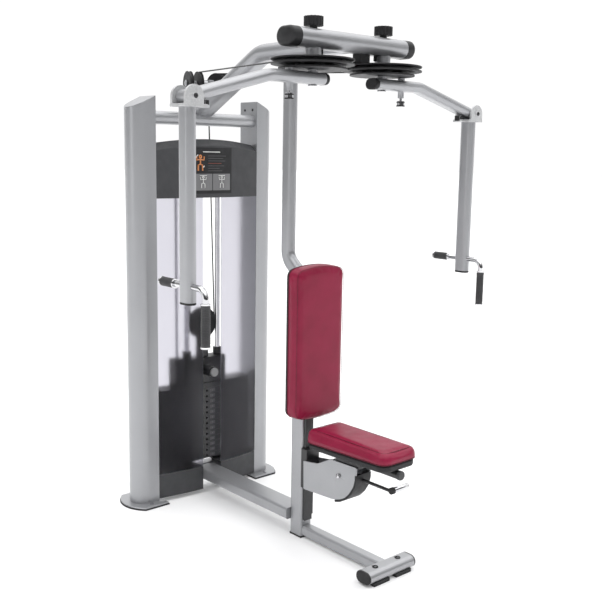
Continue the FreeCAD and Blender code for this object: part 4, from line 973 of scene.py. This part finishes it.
def make_seat():
    low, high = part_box("seat_cushion")
    half, rear, front = high.x, high.y, low.y
    front_corner, rear_corner = 0.040, 0.035
    outline = rounded([(-half, front, front_corner), (half, front, front_corner),
                       (half, rear, rear_corner), (-half, rear, rear_corner)])
    length = rear - front
    top_rear = high.z - 0.001

    def ring(inset, height, slope):
        return [Vector((point.x, point.y, height + slope * (rear - point.y) / length))
                for point in inset_ring(outline, inset)]

    rings = [ring(0.004, low.z + 0.0006, 0.015), ring(0.0008, low.z + 0.006, 0.015),
             ring(0.0006, low.z + 0.018, 0.012), ring(0.0035, top_rear - 0.017, 0.002),
             ring(0.0100, top_rear - 0.0065, 0.001), ring(0.0185, top_rear - 0.0022, 0.001),
             ring(0.0225, top_rear - 0.0030, 0.001), ring(0.0265, top_rear - 0.0012, 0.001),
             ring(0.045, top_rear - 0.0002, 0.001)]
    cushion = finish_mesh("seat_pad", ring_mesh(rings), "burgundy_vinyl", "seat")
    floor_line = low.z + 0.008
    inflate(cushion, 2.5, 0.003, lambda p: 1.0 if p.z < floor_line + 0.015 * (rear - p.y) / length else 0.0)
    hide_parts("seat_cushion")
    # The welt and seam tubes take the darker seam vinyl, which is painted shade in the grooves.
    for name, inset, height, slope, radius in (("seat_welt", 0.0022, low.z + 0.0030, 0.015, 0.0018),
                                               ("seat_seam", 0.0215, top_rear - 0.0030, 0.001, 0.0011)):
        welt = tube_mesh(ring(inset, height, slope), radius, 8, closed=True)
        finish_mesh(name, welt, "vinyl_seam_painted_shade", "seat", 60)


# ---------------------------------------------------------------- seat fittings

def dress_seat():
    places = [((sign * 0.046, -0.4035, 0.344), (sign, 0, 0)) for sign in (-1, 1)]
    bolts("bracket_bolts", places, 0.0095, 0.005, "polished_steel", "seat")
    edge = [(-0.4975, 0.372, 0), (-0.4975, 0.350, -12), (-0.489, 0.318, -25), (-0.470, 0.287, -42),
            (-0.443, 0.260, -55), (-0.412, 0.242, -66), (-0.384, 0.2335, -72)]
    strip_half = 0.0412
    strip = bmesh.new()
    rings = []
    for y, z, lean in edge:
        outward = Vector((0, -math.cos(math.radians(lean)), math.sin(math.radians(lean))))
        base = Vector((0, y, z)) + outward * 0.0005
        rings.append([strip.verts.new(base + outward * lift + Vector((x, 0, 0)))
                      for x, lift in ((-strip_half, -0.006), (strip_half, -0.006),
                                      (strip_half, 0.003), (-strip_half, 0.003))])
    for first, second in zip(rings, rings[1:]):
        for k in range(4):
            strip.faces.new((first[k], first[(k + 1) % 4], second[(k + 1) % 4], second[k]))
    strip.faces.new(rings[0])
    strip.faces.new(list(reversed(rings[-1])))
    bevel(finish_mesh("bracket_strip", strip, "black_plastic", "seat", 30), 0.0015)
    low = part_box("seat_slide")[0]
    cap = lathe([(0, 0), (0.0182, 0), (0.0182, 0.008), (0.0170, 0.0105), (0.010, 0.0116), (0, 0.0118)], 40)
    cap = aim(cap, Vector((0, low.y + 0.012, 0.419)), (0, -1, 0))
    finish_mesh("support_cap", cap, "charcoal_plastic", "seat", 35)
    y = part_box("seat_lever")[0].y + 0.009
    grip = aim(lathe([(0, 0), (0.0112, 0), (0.0116, 0.001), (0.0116, 0.062), (0.0108, 0.066), (0.0108, 0.074),
                      (0.009, 0.0765), (0, 0.077)], 36), Vector((0.013, y, 0.345)), (1, 0, 0))
    finish_mesh("lever_grip", grip, "polished_steel", "seat_lever", 30)
    elbow = lathe([(0, 0), (0.0122, 0), (0.0130, 0.001), (0.0130, 0.015), (0.0122, 0.016), (0, 0.016)], 36)
    elbow = aim(elbow, Vector((-0.003, y, 0.345)), (1, 0, 0))
    finish_mesh("lever_elbow", elbow, "black_rubber", "seat_lever", 30)


make_materials()
make_camera()
make_studio()
dress_frame()
dress_tower()
dress_stack()
end_caps()
dress_knobs()
dress_arms()
make_backrest()
make_seat()
dress_seat()
